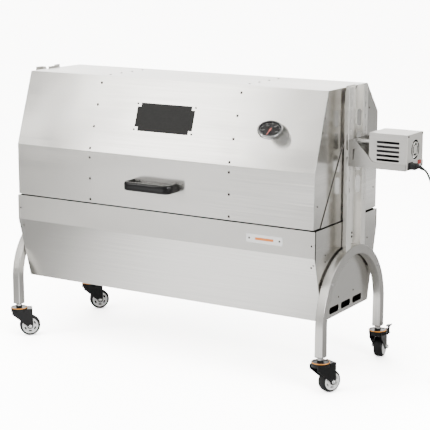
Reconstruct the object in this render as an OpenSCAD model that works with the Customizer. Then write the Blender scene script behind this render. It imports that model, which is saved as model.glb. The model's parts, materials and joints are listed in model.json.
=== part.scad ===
// Hooded charcoal spit roaster on arched legs, with an electric spit drive.
// Millimetres, +Z up, +X towards the drive end, -Y towards the person using it.
// The origin is on the floor, under the middle of the whole outline.

/* [Cooking body] */
// Length of the base trough
body_len = 1200; // [1000:10:1400]
// Length of the hood
hood_len = 1189; // [980:1:1380]
// Half of the depth across the upright walls
half_depth = 228; // [200:1:260]
// Half of the depth of the hood's flat top
top_half = 142; // [110:1:170]
// Half of the depth of the trough's flat bottom
bottom_half = 168; // [120:1:190]
// Height of the hood's top
hood_top_z = 960; // [930:1:990]
// Height of the hood's front bend
bend_front_z = 708; // [660:1:760]
// Height of the hood's rear bend
bend_rear_z = 857; // [820:1:880]
// Height of the middle of the gap between hood and trough
seam_z = 525; // [500:1:540]
// Height of the trough's front bend
trough_front_z = 435; // [410:1:450]
// Height of the trough's rear bend
trough_rear_z = 462; // [430:1:480]
// Height of the trough's bottom
bottom_z = 215; // [190:1:230]
// Gap between hood and trough
seam_gap = 5; // [3:0.5:8]
// Thickness of the trough's sheet
sheet = 1.5; // [1:0.1:3]
// Thickness of the hood's sheet
hood_sheet = 1.2; // [1:0.1:3]

/* [Spit] */
// Height of the spit's axis
spit_z = 784; // [740:1:800]
// Radius of the spit's round journals
spit_r = 8; // [6:0.5:10]
// Length of the spit's square middle stretch
spit_square_len = 1120; // [900:10:1140]

/* [Posts] */
// Depth of a post from its web to its lips
post_depth = 30; // [25:1:40]
// Half of the width across a post's web
web_half = 38; // [34:1:42]
// Half of the width across a post's lips
lip_half = 69; // [60:1:75]
// Height of a post's top
post_top_z = 966; // [940:1:1000]
// Distance between hook slots
hook_pitch = 38; // [36:1:42]
// Number of hook slots in a lip
hook_count = 10; // [6:1:10]

/* [Legs and casters] */
// Outer radius of the arched leg
arch_r = 230; // [215:1:245]
// Side of the leg's square tube
tube = 30; // [25:1:35]
// Height of the legs' lower ends
leg_end_z = 113; // [105:1:125]
// Radius of a caster's wheel
wheel_r = 38; // [30:0.5:45]
// Width of a caster's wheel
wheel_w = 32; // [24:1:34]
// Distance from a caster's swivel axis to its axle
trail = 38; // [28:1:40]

/* [Spit drive] */
// Length of the drive's case
motor_len = 130; // [110:1:150]
// Width of the drive's case
motor_wide = 120; // [100:1:130]
// Height of the drive's case
motor_tall = 112; // [90:1:120]

/* [Hidden] */
$fn = 48;
eps = 0.01;
steel = "silver";
dark = "dimgray";
black = "#202020";

// Where the middle of the cooking body stands in the part's own frame.
body_x = -70;
body_y = -1.3;
body_z = 8;

// Sheet stock and small gaps.
plate = 2;
fit = 0.05;
gap = 0.3;

// Upper and lower edges of the seam.
hood_edge_z = seam_z + seam_gap / 2;
trough_edge_z = seam_z - seam_gap / 2;
body_end = body_len / 2;
hood_end = hood_len / 2;

// Front slope of the hood.
slope_rise = hood_top_z - bend_front_z;
slope_run = half_depth - top_half;
slope_a = atan(slope_run / slope_rise);

// Hinge line along the rear edge of the seam.
barrel_r = 5.5;
pin_r = 3;
hinge_y = half_depth + barrel_r;
hinge_x = [-400, 0, 400];
knuckle = 24;
leaf_drop = 45;

// The spit's path past the hood's ends as the hood swings up.
swing_r = norm([hinge_y, spit_z - seam_z]);
notch_r = swing_r + spit_r + 2;
notch_rear = spit_r + 6;
spit_slot_half = spit_r + 3;

// Posts.
post_x = body_end + 2;
lip_x = post_x + post_depth;
lip_mid = (web_half + lip_half) / 2;
hook_first_z = 594;
hook_wide = 6;
hook_tall = 17;
long_slot_top = 886;
long_slot_pitch = 73;
long_slot_len = 55;
long_slot_wide = 16;
long_slot_count = 4;
post_screw_z = [462, 475];
post_screw_y = 27;

// Arched legs.
arch_z = 210;
leg_x = body_end + 5;
leg_mid = arch_r - tube / 2;
leg_wall = 2;
leg_bolt_a = 38.5;

// Motor bracket: a tray that hooks into the post's lips.
bracket_x = lip_x + 0.3;
tray_z = 714;
tray_rise = 20;
hump_z = 801;
motor_x = 703;
motor_y = -66;
motor_mid_y = motor_y + motor_wide / 2;
motor_z = tray_z + plate;
motor_end = motor_x + motor_len;
inlet_y = -41;
inlet_z = 728;
switch_y = 26;
switch_z = 733;
fan_y = -5;
fan_z = 777;

// Casters: name, place on the part and heading of the trail from +X.
caster_x = leg_x + tube / 2;
casters = [
    [-caster_x, -leg_mid, 42],
    [caster_x, -leg_mid, 66],
    [-caster_x, leg_mid, 46],
    [caster_x, leg_mid, 99]
];
stem_r = 6;
crown_z = 84;
cup_r = 30;
ring_r = 31;
cheek = 3;
cheek_y = wheel_w / 2 + 3;
axle_r = 4;
axle_z = wheel_r - body_z;

// Brake levers on the rear casters.
lever_w = 14;
lever_y = cheek_y + cheek + 14.5;
lever_z = 88;

// Handle, window and thermometer on the hood's front.
handle_x = -8;
handle_z = 613;
handle_len = 186;
handle_tall = 30;
handle_reach = 61;
handle_bar = 13;
window_x = 5;
window_s = 134;
window_w = 230;
window_h = 97;
window_notch = 14;
dial_x = 427;
dial_s = 109;
dial_r = 41;
dial_tilt = 42;
dial_turn = 18;
dial_elbow = 20;
dial_reach = 22;
needle_turn = 192;

// Plain plate on the trough's front.
plate_x = 417;
plate_z = 478;
plate_t = 1;

// Ribs and their rivets.
rib_x = [-277, 283];
rib_w = 24;

// Free stretches of the cord: round points chosen by hand, from the floor under the body's middle.
cord_r = 3.5;
cord_sides = 10;
cord_steps = 2;
cord_drop = [
    [876, -41, 731.5], [880, -41, 730], [885, -41, 727], [890, -41, 722.5], [894, -41, 716.5],
    [898, -41, 709], [902, -41, 700.5], [906, -41, 691.5], [911, -41, 679], [917, -41, 663],
    [923, -41, 644], [929, -41, 622], [934.5, -41, 598], [939, -41, 571], [942.5, -41, 541],
    [945, -41, 508], [946, -41, 470], [946, -41, 430], [946, -41, 390], [946, -41, 350],
    [946, -41, 310], [946, -41, 270], [946, -41, 230], [946, -41, 190], [946, -41, 150],
    [946, -41, 110], [946, -40, 75], [947, -36, 45], [949, -27, 24], [952, -14, 10],
    [957, 2, 4.6], [964, 18, 3.8], [970, 34, 3.6], [975.5, 50, 3.6], [979, 64, 4],
    [981, 79, 5.1]
];
cord_lead = [
    [981, 79, 12.3], [981, 93, 11.5], [978.5, 108, 8.5], [974, 123, 5], [968, 138, 3.8],
    [962, 152, 4.2], [958, 166, 7], [956.5, 178, 10.5], [956, 190, 12], [956, 202, 12]
];
coil_at = [939, 79];
coil_mean_r = 38.5;
coil_half = 8.6;
coil_z = 8.7;
plug_at = [956, 198, 12];

// Moves a sub-part from the cooking body's middle to the part's frame.
module at_body() {
    translate([body_x, body_y, body_z]) children();
}

// The same, but with heights measured from the floor.
module on_floor() {
    translate([body_x, body_y, 0]) children();
}

// Extrudes a (Y, Z) outline along X.
module along_x(from, len) {
    translate([from, 0, 0]) rotate([90, 0, 90]) linear_extrude(len) children();
}

// Places children on the hood's front slope: local z points out, local y points up the slope.
module on_slope(x, s) {
    translate([x, -half_depth + s * sin(slope_a), bend_front_z + s * cos(slope_a)])
        rotate([90 - slope_a, 0, 0]) children();
}

// Places children on the upright front: local z points out, local y points up.
module on_front(x, z) {
    translate([x, -half_depth, z]) rotate([90, 0, 0]) children();
}

// Both ends, the left one mirrored.
module both_ends() {
    children();
    mirror([1, 0, 0]) children();
}

module slot_2d(wide, tall) {
    hull_r = min(wide, tall) / 2;
    square([wide, tall - 2 * hull_r], center = true);
    for (side = [-1, 1]) translate([0, side * (tall / 2 - hull_r)]) circle(hull_r);
}

module rounded_2d(wide, tall, r) {
    square([wide, tall - 2 * r], center = true);
    square([wide - 2 * r, tall], center = true);
    for (x = [-1, 1], y = [-1, 1]) translate([x * (wide / 2 - r), y * (tall / 2 - r)]) circle(r);
}

// A low domed head standing on a face, local z outwards.
module rivet_head(r = 4.5) {
    cylinder(r1 = r, r2 = r * 0.8, h = 0.8);
    translate([0, 0, 0.8]) cylinder(r1 = r * 0.8, r2 = r * 0.35, h = 0.7);
}

module pan_screw(r = 4) {
    difference() {
        union() {
            cylinder(r = r, h = 1.6);
            translate([0, 0, 1.6]) cylinder(r1 = r, r2 = r * 0.6, h = 0.9);
        }
        for (a = [0, 90]) rotate(a) translate([-r * 0.45, -0.5, 1.5]) cube([r * 0.9, 1, 2]);
    }
}

// ---- Outlines in (Y, Z) ----

function hood_outline(t) = [
    [-half_depth + t, hood_edge_z],
    [-half_depth + t, bend_front_z - t * tan(slope_a / 2)],
    [-top_half + t * tan(45 - slope_a / 2), hood_top_z - t],
    [top_half - t * 0.36, hood_top_z - t],
    [half_depth - t, bend_rear_z - t * 0.34],
    [half_depth - t, hood_edge_z]
];

function trough_outline(t) = [
    [-half_depth + t, trough_edge_z],
    [-half_depth + t, trough_front_z + t * 0.14],
    [-bottom_half + t * 0.74, bottom_z + t],
    [bottom_half - t * 0.76, bottom_z + t],
    [half_depth - t, trough_rear_z + t * 0.12],
    [half_depth - t, trough_edge_z]
];

// ---- Base trough ----

// Folded shell: walls, slopes and bottom, with an inner lip that stands up behind the seam.
module trough_shell() at_body() color(steel) {
    lip_in = 7;
    lip_up = 20;
    lip_end = hood_end - 8;
    along_x(-body_end, body_len) {
        difference() {
            polygon(trough_outline(0));
            polygon(concat(trough_outline(sheet), [[0, trough_edge_z + 1]]));
            translate([-half_depth + sheet, trough_edge_z - 40]) square([2 * (half_depth - sheet), 60]);
        }
        for (side = [-1, 1]) {
            wall = side * (half_depth - sheet);
            inner = side * (half_depth - lip_in);
            translate([min(wall, inner), trough_edge_z - sheet]) square([lip_in - sheet, sheet]);
        }
    }
    along_x(-lip_end, 2 * lip_end) for (side = [-1, 1])
        translate([side * (half_depth - lip_in) - sheet / 2, trough_edge_z - sheet]) square([sheet, lip_up]);
}

// End panel with three draught openings along its lower edge.
module base_end() {
    vent_pitch = 85;
    vent_w = 68;
    vent_h = 22;
    vent_z = 239;
    along_x(body_end - sheet, sheet) difference() {
        intersection() {
            polygon(trough_outline(sheet));
            translate([-half_depth + 7.8, 0]) square([2 * half_depth - 15.6, trough_edge_z]);
        }
        for (i = [-1:1]) translate([i * vent_pitch, vent_z]) rounded_2d(vent_w, vent_h, 8);
    }
}

module base_end_right() at_body() color(steel) base_end();

module base_end_left() at_body() color(steel) mirror([1, 0, 0]) base_end();

// Fixed shields that cover the hood's spit notches, on standoffs from the posts.
module spit_shields() at_body() color(steel) both_ends() {
    shield_x = hood_end + 2;
    shield_top = 812;
    along_x(shield_x, sheet) difference() {
        polygon([[-183, hood_edge_z], [-10, shield_top], [36, shield_top], [36, hood_edge_z]]);
        translate([0, (590 + 800) / 2]) slot_2d(2 * spit_slot_half, 210);
    }
    for (y = [-post_screw_y, post_screw_y], z = [550, 575])
        translate([shield_x + sheet, y, z]) rotate([0, 90, 0]) cylinder(r = 5, h = post_x - shield_x - sheet);
}

// Plain plate riveted to the trough's front.
module blank_plate() at_body() color("white") on_front(plate_x, plate_z)
    linear_extrude(plate_t) rounded_2d(134, 28, 3);

// Rivets of the plate, screws of the panels, posts and drive, and the bolts of the legs.
module base_fasteners() at_body() color(steel) {
    for (side = [-1, 1]) on_front(plate_x + side * 56, plate_z) translate([0, 0, plate_t]) rivet_head(3.4);
    for (side = [-1, 1], z = [406, 476]) on_front(side * 588, z) rivet_head(3.4);
    both_ends() {
        for (p = [[-155, 434], [-155, 412], [-53, 274], [55, 274], [155, 434]])
            translate([body_end, p[0], p[1]]) rotate([0, 90, 0]) rivet_head(3);
        for (y = [-post_screw_y, post_screw_y], z = post_screw_z) {
            translate([body_end, y, z]) rotate([0, 90, 0]) cylinder(r = 5, h = post_x - body_end);
            translate([post_x + sheet, y, z]) rotate([0, 90, 0]) pan_screw(4);
        }
        for (side = [-1, 1]) leg_bolt(side);
    }
    for (y = [5, motor_wide - 5], z = [5, motor_tall - 5])
        translate([motor_end + sheet, motor_y + y, motor_z + z]) rotate([0, 90, 0]) pan_screw(3);
    translate([motor_end - 8, motor_y + motor_wide, motor_z + 84]) rotate([-90, 0, 0]) pan_screw(4.5);
}

// Domed bolt outside the leg, spacer between leg and panel, nut inside the trough.
module leg_bolt(side) {
    y = side * (arch_r - tube / 2) * cos(leg_bolt_a);
    z = arch_z + (arch_r - tube / 2) * sin(leg_bolt_a);
    translate([leg_x + tube, y, z]) rotate([0, 90, 0]) {
        cylinder(r = 8.5, h = 1.2);
        translate([0, 0, 1.2]) cylinder(r1 = 7, r2 = 5.6, h = 2.4);
        translate([0, 0, 3.6]) cylinder(r1 = 5.6, r2 = 2.4, h = 1.4);
    }
    translate([body_end, y, z]) rotate([0, 90, 0]) cylinder(r = 9, h = leg_x - body_end);
    translate([body_end - sheet - 7, y, z]) rotate([0, 90, 0]) cylinder(r = 7.5, h = 7, $fn = 6);
}

// Tray for the charcoal, with a slotted floor and feet that reach the trough's bottom.
module charcoal_tray() at_body() color(dark) {
    tray_len = 1120;
    tray_half = 150;
    floor_z = 262;
    wall_h = 34;
    translate([-tray_len / 2, -tray_half, floor_z]) difference() {
        cube([tray_len, 2 * tray_half, wall_h]);
        translate([plate, plate, plate]) cube([tray_len - 2 * plate, 2 * tray_half - 2 * plate, wall_h]);
        for (i = [0:10], j = [0:3])
            translate([45 + i * 95, 30 + j * 66, -1]) cube([76, 8, plate + 2]);
    }
    for (x = [-420, 0, 420], side = [-1, 1])
        translate([x - 15, side * 110 - plate / 2, bottom_z + sheet])
            cube([30, plate, floor_z - bottom_z - sheet]);
}

// ---- Hinges ----

module hinge_barrel(x, len) {
    translate([x, hinge_y, seam_z]) rotate([0, 90, 0]) difference() {
        cylinder(r = barrel_r, h = len);
        translate([0, 0, -1]) cylinder(r = pin_r + fit, h = len + 2);
    }
}

module hinge_lower_leaves() at_body() color(steel) for (x = hinge_x) {
    difference() {
        union() {
            for (side = [-1, 1])
                translate([x + side * knuckle - knuckle / 2 + gap, half_depth, seam_z - leaf_drop])
                    cube([knuckle - 2 * gap, plate, leaf_drop]);
            translate([x - 1.5 * knuckle + gap, half_depth, seam_z - leaf_drop])
                cube([3 * knuckle - 2 * gap, plate, leaf_drop - barrel_r - 2]);
        }
        translate([x - 50, hinge_y, seam_z]) rotate([0, 90, 0]) cylinder(r = pin_r + 1.5, h = 100);
    }
    for (side = [-1, 1]) hinge_barrel(x + side * knuckle - knuckle / 2 + gap, knuckle - 2 * gap);
}

module hinge_upper_leaves() at_body() color(steel) for (x = hinge_x) {
    difference() {
        union() {
            translate([x - knuckle / 2 + gap, half_depth, seam_z])
                cube([knuckle - 2 * gap, plate, leaf_drop]);
            translate([x - 1.5 * knuckle + gap, half_depth, seam_z + barrel_r + 2])
                cube([3 * knuckle - 2 * gap, plate, leaf_drop - barrel_r - 2]);
        }
        translate([x - 50, hinge_y, seam_z]) rotate([0, 90, 0]) cylinder(r = pin_r + 1.5, h = 100);
    }
    hinge_barrel(x - knuckle / 2 + gap, knuckle - 2 * gap);
}

module hinge_pins() at_body() color(dark) for (x = hinge_x) {
    translate([x - 1.5 * knuckle - 1, hinge_y, seam_z]) rotate([0, 90, 0])
        cylinder(r = pin_r, h = 3 * knuckle + 2);
    for (side = [-1, 1])
        translate([x + side * (1.5 * knuckle + 2) - 1, hinge_y, seam_z]) rotate([0, 90, 0])
            cylinder(r = 4.2, h = 2);
}

// ---- Hood ----

// Folded shell with the window opening and the thermometer's hole.
module hood_shell() at_body() color(steel) difference() {
    along_x(-hood_end, hood_len) difference() {
        polygon(hood_outline(0));
        polygon(concat([[-half_depth + hood_sheet, hood_edge_z - 1]], hood_outline(hood_sheet),
            [[half_depth - hood_sheet, hood_edge_z - 1]]));
    }
    on_slope(window_x, window_s) translate([0, 0, -5]) linear_extrude(10) window_2d();
    on_slope(dial_x, dial_s) translate([0, 0, -5]) cylinder(r = 5.5, h = 10);
}

// Window opening, stepped in round each corner's screw.
module window_2d() {
    square([window_w, window_h - 2 * window_notch], center = true);
    square([window_w - 2 * window_notch, window_h], center = true);
}

// End panel with the notch that lets the spit pass as the hood swings.
module hood_end_panel() {
    along_x(hood_end - hood_sheet, hood_sheet) difference() {
        polygon(hood_outline(hood_sheet));
        intersection() {
            translate([hinge_y, seam_z]) circle(notch_r, $fn = 180);
            translate([-300, seam_z]) square([300 + notch_rear, spit_z + notch_rear - seam_z]);
        }
    }
}

module hood_end_right() at_body() color(steel) hood_end_panel();

module hood_end_left() at_body() color(steel) mirror([1, 0, 0]) hood_end_panel();

// Two inner straps that follow the hood's section.
module hood_ribs() at_body() color(steel) for (x = rib_x)
    along_x(x - rib_w / 2, rib_w) difference() {
        polygon(hood_outline(hood_sheet));
        polygon(concat([[-half_depth + hood_sheet + plate, hood_edge_z - 1]],
            hood_outline(hood_sheet + plate), [[half_depth - hood_sheet - plate, hood_edge_z - 1]]));
    }

// Rivets along the ribs, screws of the window and of the end panels.
module hood_fasteners() at_body() color(steel) {
    for (x = rib_x) {
        for (i = [0:3]) on_slope(x, 10 + i * 77) rivet_head();
        for (i = [0:2]) on_front(x, 539 + i * 73) rivet_head();
        for (i = [0:3]) translate([x, -98 + i * 65, hood_top_z]) rivet_head();
        for (i = [0:3]) translate([x, half_depth, 560 + i * 90]) rotate([-90, 0, 0]) rivet_head();
    }
    for (side = [-1, 1], up = [-1, 1])
        on_slope(window_x + side * (window_w / 2 + 0.5), window_s + up * (window_h / 2 - 3.5))
            pan_screw(3);
    both_ends() for (p = [[-162, 875], [-176, 831], [160, 875], [-205, 600], [205, 600]])
        translate([hood_end, p[0], p[1]]) rotate([0, 90, 0]) rivet_head(3);
}

// Glass pane behind the opening.
module window_glass() at_body() color("#101418") on_slope(window_x, window_s)
    translate([0, 0, -hood_sheet - 4]) linear_extrude(4) rounded_2d(window_w + 16, window_h + 14, 3);

// Retaining frame behind the pane.
module window_frame() at_body() color(dark) on_slope(window_x, window_s)
    translate([0, 0, -hood_sheet - 4 - plate]) linear_extrude(plate) difference() {
        rounded_2d(window_w + 24, window_h + 20, 4);
        rounded_2d(window_w - 24, window_h - 20, 4);
    }

// Bow handle: a deep bar that turns back to the hood at both ends, with mounting screws inside.
module hood_handle() at_body() color(black) on_front(handle_x, handle_z) {
    corner = 24;
    half = handle_len / 2;
    translate([0, handle_tall / 2, 0]) rotate([90, 0, 0]) linear_extrude(handle_tall) difference() {
        handle_2d(half, handle_reach, corner);
        handle_2d(half - handle_bar, handle_reach - handle_bar, corner - handle_bar);
        translate([-half, -10]) square([2 * half, 10]);
    }
    for (side = [-1, 1]) translate([side * (half - handle_bar / 2), 0, -hood_sheet - 3])
        cylinder(r = 5, h = 3);
}

module handle_2d(half, reach, corner) {
    translate([-half, -5]) square([2 * half, reach + 5 - corner]);
    translate([-half + corner, 0]) square([2 * half - 2 * corner, reach]);
    for (side = [-1, 1]) translate([side * (half - corner), reach - corner]) circle(corner);
}

// Local frame of the thermometer's face: z out of the dial, y up.
module on_dial() {
    on_slope(dial_x, dial_s) translate([0, 0, dial_elbow]) rotate([0, 0, -dial_turn])
        rotate([-dial_tilt, 0, 0]) translate([0, 0, dial_reach]) children();
}

// Case with a raised rim, an angled neck and a probe that passes through the hood.
module thermometer_case() at_body() color("gainsboro") {
    on_dial() difference() {
        union() {
            translate([0, 0, -11]) cylinder(r = dial_r - 3, h = 11);
            translate([0, 0, -4]) cylinder(r = dial_r, h = 6);
            translate([0, 0, 2]) cylinder(r1 = dial_r, r2 = dial_r - 2, h = 2);
        }
        translate([0, 0, -4]) cylinder(r = dial_r - 5, h = 20);
    }
    difference() {
        union() {
            on_slope(dial_x, dial_s) cylinder(r = 11, h = 9);
            on_slope(dial_x, dial_s) cylinder(r = 8, h = dial_elbow);
            on_dial() translate([0, 0, -dial_reach]) cylinder(r = 8, h = dial_reach - 10);
            on_slope(dial_x, dial_s) translate([0, 0, dial_elbow]) sphere(8.5);
        }
        on_dial() translate([0, 0, -11]) cylinder(r = dial_r, h = 20);
    }
    on_slope(dial_x, dial_s) {
        translate([0, 0, -60]) cylinder(r = 3, h = 60);
        translate([0, 0, -hood_sheet - 6]) cylinder(r = 9, h = 6, $fn = 6);
    }
}

module thermometer_dial() at_body() color(black) on_dial() translate([0, 0, -4])
    cylinder(r = dial_r - 5.1, h = 1);

// Needle that turns about the middle of the dial.
module thermometer_pointer() at_body() color("salmon") on_dial() rotate(needle_turn) {
    translate([0, 0, -2.6]) cylinder(r = 3.5, h = 1.6);
    translate([0, 0, -2.2]) linear_extrude(0.8) polygon([[-2.2, -8], [2.2, -8], [1, 27], [-1, 27]]);
}

module thermometer_lens() at_body() color("white", 0.3) on_dial() translate([0, 0, 0.2])
    cylinder(r = dial_r - 5.1, h = 1.6);

// ---- Posts ----

// Hat-section post: web towards the body, flanges outwards, lips to both sides.
module post() {
    difference() {
        along_z_post();
        for (i = [0:hook_count - 1], side = [-1, 1])
            translate([lip_x - 5, side * (lip_mid - 0.5), hook_first_z + i * hook_pitch])
                rotate([90, 0, 90]) linear_extrude(10) slot_2d(hook_wide, hook_tall);
        for (i = [0:long_slot_count - 1])
            translate([post_x + post_depth / 2, -100,
                long_slot_top - long_slot_len / 2 - i * long_slot_pitch])
                rotate([-90, 0, 0]) linear_extrude(200) slot_2d(long_slot_wide, long_slot_len);
        along_x(post_x - 5, 10) translate([0, 745]) slot_2d(2 * spit_slot_half, 330);
        along_x(post_x - 1, post_depth + 2) translate([0, arch_z]) circle(arch_r + gap, $fn = 120);
        for (side = [-1, 1]) translate([post_x, side * web_half, post_top_z]) rotate([90, 0, 0])
            linear_extrude(10, center = true) polygon([[-1, 1], [10, 1], [10, 0], [0, -20], [-1, -20]]);
    }
}

// The post's section, extruded upwards before it is cut.
module along_z_post() {
    foot_z = 400;
    translate([0, 0, foot_z]) linear_extrude(post_top_z - foot_z) {
        translate([post_x, -web_half]) square([sheet, 2 * web_half]);
        for (side = [-1, 1]) {
            flange_y = side > 0 ? web_half - sheet : -web_half;
            lip_y = side > 0 ? web_half - sheet : -lip_half;
            translate([post_x, flange_y]) square([post_depth, sheet]);
            translate([lip_x - sheet, lip_y]) square([sheet, lip_half - web_half + sheet]);
        }
    }
}

module post_right() at_body() color(steel) post();

module post_left() at_body() color(steel) mirror([1, 0, 0]) post();

// Hooks that reach through a post's slots and turn down behind the lip.
module hooks() {
    hook_t = 4;
    for (side = [-1, 1], i = [4, 5])
        translate([0, side * (lip_mid - 0.5) - hook_t / 2, hook_first_z + i * hook_pitch]) {
        translate([lip_x - sheet - 4, 0, 0]) cube([bracket_x - lip_x + sheet + 4 + eps, hook_t, 7]);
        translate([lip_x - sheet - 4, 0, -7]) cube([3.7, hook_t, 7 + eps]);
    }
}

// ---- Left end of the spit ----

// Plate that hooks into the left post and carries the bush.
module bearing_bracket() at_body() color(steel) mirror([1, 0, 0]) {
    difference() {
        union() {
            along_x(bracket_x, plate) translate([0, (tray_z + hump_z) / 2 + 16])
                rounded_2d(2 * lip_half, hump_z - tray_z + 14, 8);
            translate([bracket_x, 0, spit_z]) rotate([0, 90, 0]) cylinder(r = 20, h = 16);
        }
        translate([bracket_x - 1, 0, spit_z]) rotate([0, 90, 0]) cylinder(r = 14, h = 30);
    }
    hooks();
}

// Flanged bush that the spit's journal turns in.
module bearing_bush() at_body() color("peru") mirror([1, 0, 0])
    translate([bracket_x, 0, spit_z]) rotate([0, 90, 0]) difference() {
        union() {
            cylinder(r = 14, h = 16);
            translate([0, 0, 16]) cylinder(r = 19, h = 3);
        }
        translate([0, 0, -1]) cylinder(r = spit_r + fit, h = 30);
    }

// ---- Spit ----

bush_face = bracket_x + 19;
spit_left = -(bush_face + 47.5);
groove_x = bush_face + 3;
groove_w = 3;
coupling_x = bracket_x + plate + 2;
coupling_len = motor_x - coupling_x - 4;
drive_half = 5;
fork_x = 300;

// Round journals, square middle stretch and a square drive end.
module spit_rod() at_body() color(steel) translate([0, 0, spit_z]) {
    square_half = spit_square_len / 2;
    difference() {
        translate([spit_left, 0, 0]) rotate([0, 90, 0]) union() {
            cylinder(r1 = spit_r - 1, r2 = spit_r, h = 1);
            translate([0, 0, 1]) cylinder(r = spit_r, h = -spit_left - square_half - 1);
        }
        translate([-groove_x - groove_w, 0, 0]) rotate([0, 90, 0]) difference() {
            cylinder(r = spit_r + 1, h = groove_w);
            cylinder(r = spit_r - 1.5, h = groove_w);
        }
    }
    translate([-square_half, -spit_r, -spit_r]) cube([spit_square_len, 2 * spit_r, 2 * spit_r]);
    translate([square_half, 0, 0]) rotate([0, 90, 0]) cylinder(r = spit_r, h = coupling_x - 1 - square_half);
    translate([coupling_x - 1 - eps, -drive_half, -drive_half]) cube([30, 2 * drive_half, 2 * drive_half]);
}

// Two four-tined forks that slide along the spit.
module spit_forks() at_body() color(steel) for (side = [-1, 1])
    translate([side * fork_x, 0, spit_z]) mirror([side > 0 ? 1 : 0, 0, 0]) fork();

module fork() {
    tine_y = 42;
    tine_r = 4;
    tine_len = 130;
    inner = spit_r + 0.2;
    difference() {
        union() {
            translate([0, -16, -16]) cube([34, 32, 32]);
            for (a = [45, -45]) rotate([a, 0, 0]) translate([10, -62, -6]) cube([8, 124, 12]);
        }
        translate([-1, -inner, -inner]) cube([40, 2 * inner, 2 * inner]);
        translate([24, 0, 10]) cylinder(r = 3, h = 10);
    }
    for (y = [-1, 1], z = [-1, 1]) translate([18 - eps, y * tine_y, z * tine_y]) rotate([0, 90, 0]) {
        cylinder(r = tine_r, h = tine_len);
        translate([0, 0, tine_len]) cylinder(r1 = tine_r, r2 = 0.8, h = 20);
    }
}

// Thumbscrews that hold the forks on the spit.
module fork_screws() at_body() color(steel) for (side = [-1, 1])
    translate([side * (fork_x - 24), 0, spit_z]) {
        translate([0, 0, spit_r]) cylinder(r = 2.9, h = 24);
        translate([-10, -1.5, spit_r + 18]) cube([20, 3, 14]);
    }

// Sleeve with a square socket for the spit, on the gearmotor's output shaft.
module spit_coupling() at_body() color("gainsboro") translate([coupling_x, 0, spit_z]) rotate([0, 90, 0]) {
    socket_half = drive_half + 0.1;
    difference() {
        cylinder(r = 12, h = coupling_len);
        translate([-socket_half, -socket_half, -1]) cube([2 * socket_half, 2 * socket_half, 33]);
    }
    translate([0, 0, coupling_len]) cylinder(r = 5, h = motor_x + 1 - gap - coupling_x - coupling_len);
}

// ---- Spit drive ----

// Side wall of the tray: a round hump at the post that sweeps down to a low wall.
module tray_wall_2d() {
    hump = 15;
    low_z = tray_z + tray_rise;
    sweep_x = bracket_x + 98;
    difference() {
        union() {
            translate([bracket_x, tray_z]) square([motor_end - 3 - bracket_x, tray_rise]);
            translate([bracket_x, tray_z]) square([hump, hump_z - tray_z - hump]);
            translate([bracket_x, hump_z - hump]) square([2, hump]);
            translate([bracket_x + hump, hump_z - hump]) circle(hump);
            polygon([[bracket_x + hump, tray_z], [bracket_x + hump * 1.72, hump_z - hump * 0.3],
                [sweep_x - 24, low_z + 14], [sweep_x, low_z], [sweep_x, tray_z]]);
        }
        translate([sweep_x - 4, low_z + 23]) circle(23);
    }
}

// Tray with a back plate that hooks into the right post.
module motor_bracket() at_body() color(steel) {
    difference() {
        union() {
            for (y = [-lip_half, lip_half - plate])
                translate([0, y + plate, 0]) rotate([90, 0, 0]) linear_extrude(plate) tray_wall_2d();
            translate([bracket_x, -lip_half, tray_z]) cube([motor_end - 3 - bracket_x, 2 * lip_half, plate]);
            translate([bracket_x, -lip_half, tray_z]) cube([plate, 2 * lip_half, hump_z - tray_z - 2]);
        }
        translate([bracket_x - 5, 0, spit_z]) rotate([0, 90, 0]) cylinder(r = 14, h = 10);
    }
    hooks();
}

// Folded case with louvred sides, open towards the end plate.
module motor_cover() at_body() color(steel) {
    wall = 1;
    translate([motor_x, motor_y, motor_z]) difference() {
        cube([motor_len, motor_wide, motor_tall]);
        translate([wall, wall, wall]) cube([motor_len, motor_wide - 2 * wall, motor_tall - 2 * wall]);
        translate([-1, -motor_y, spit_z - motor_z]) rotate([0, 90, 0]) cylinder(r = 16, h = 4);
        for (i = [0:4]) translate([motor_len / 2, -1, 28 + i * 14])
            rotate([-90, 0, 0]) linear_extrude(motor_wide + 2) rounded_2d(78, 7.6, 3.4);
    }
}

// End plate with the fan's ring slots, the inlet's and the switch's openings.
module motor_end_plate() at_body() color(steel) {
    translate([motor_end, 0, 0]) rotate([90, 0, 90]) linear_extrude(sheet) difference() {
        translate([motor_y, motor_z]) square([motor_wide, motor_tall]);
        translate([fan_y, fan_z]) {
            ring_slots_2d(24.5, 31);
            ring_slots_2d(14, 19.5);
        }
        translate([inlet_y, inlet_z]) rounded_2d(28.4, 20.4, 3);
        translate([switch_y, switch_z]) square([19.4, 13.4], center = true);
    }
}

// A ring-shaped slot broken by four bridges.
module ring_slots_2d(r_in, r_out) {
    difference() {
        circle(r_out);
        circle(r_in);
        for (a = [45, 135]) rotate(a) square([3 * r_out, 5], center = true);
    }
}

// Fan behind the ring slots.
module fan_rotor() at_body() color(black) translate([motor_end - 16, fan_y, fan_z]) rotate([0, 90, 0]) {
    difference() {
        cylinder(r = 11, h = 12);
        translate([0, 0, -1]) cylinder(r = 2 + fit, h = 10);
    }
    for (i = [0:6]) rotate(i * 360 / 7) translate([10, 0, 6]) rotate([35, 0, 0])
        translate([0, -6, -0.8]) cube([19, 12, 1.6]);
}

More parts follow.
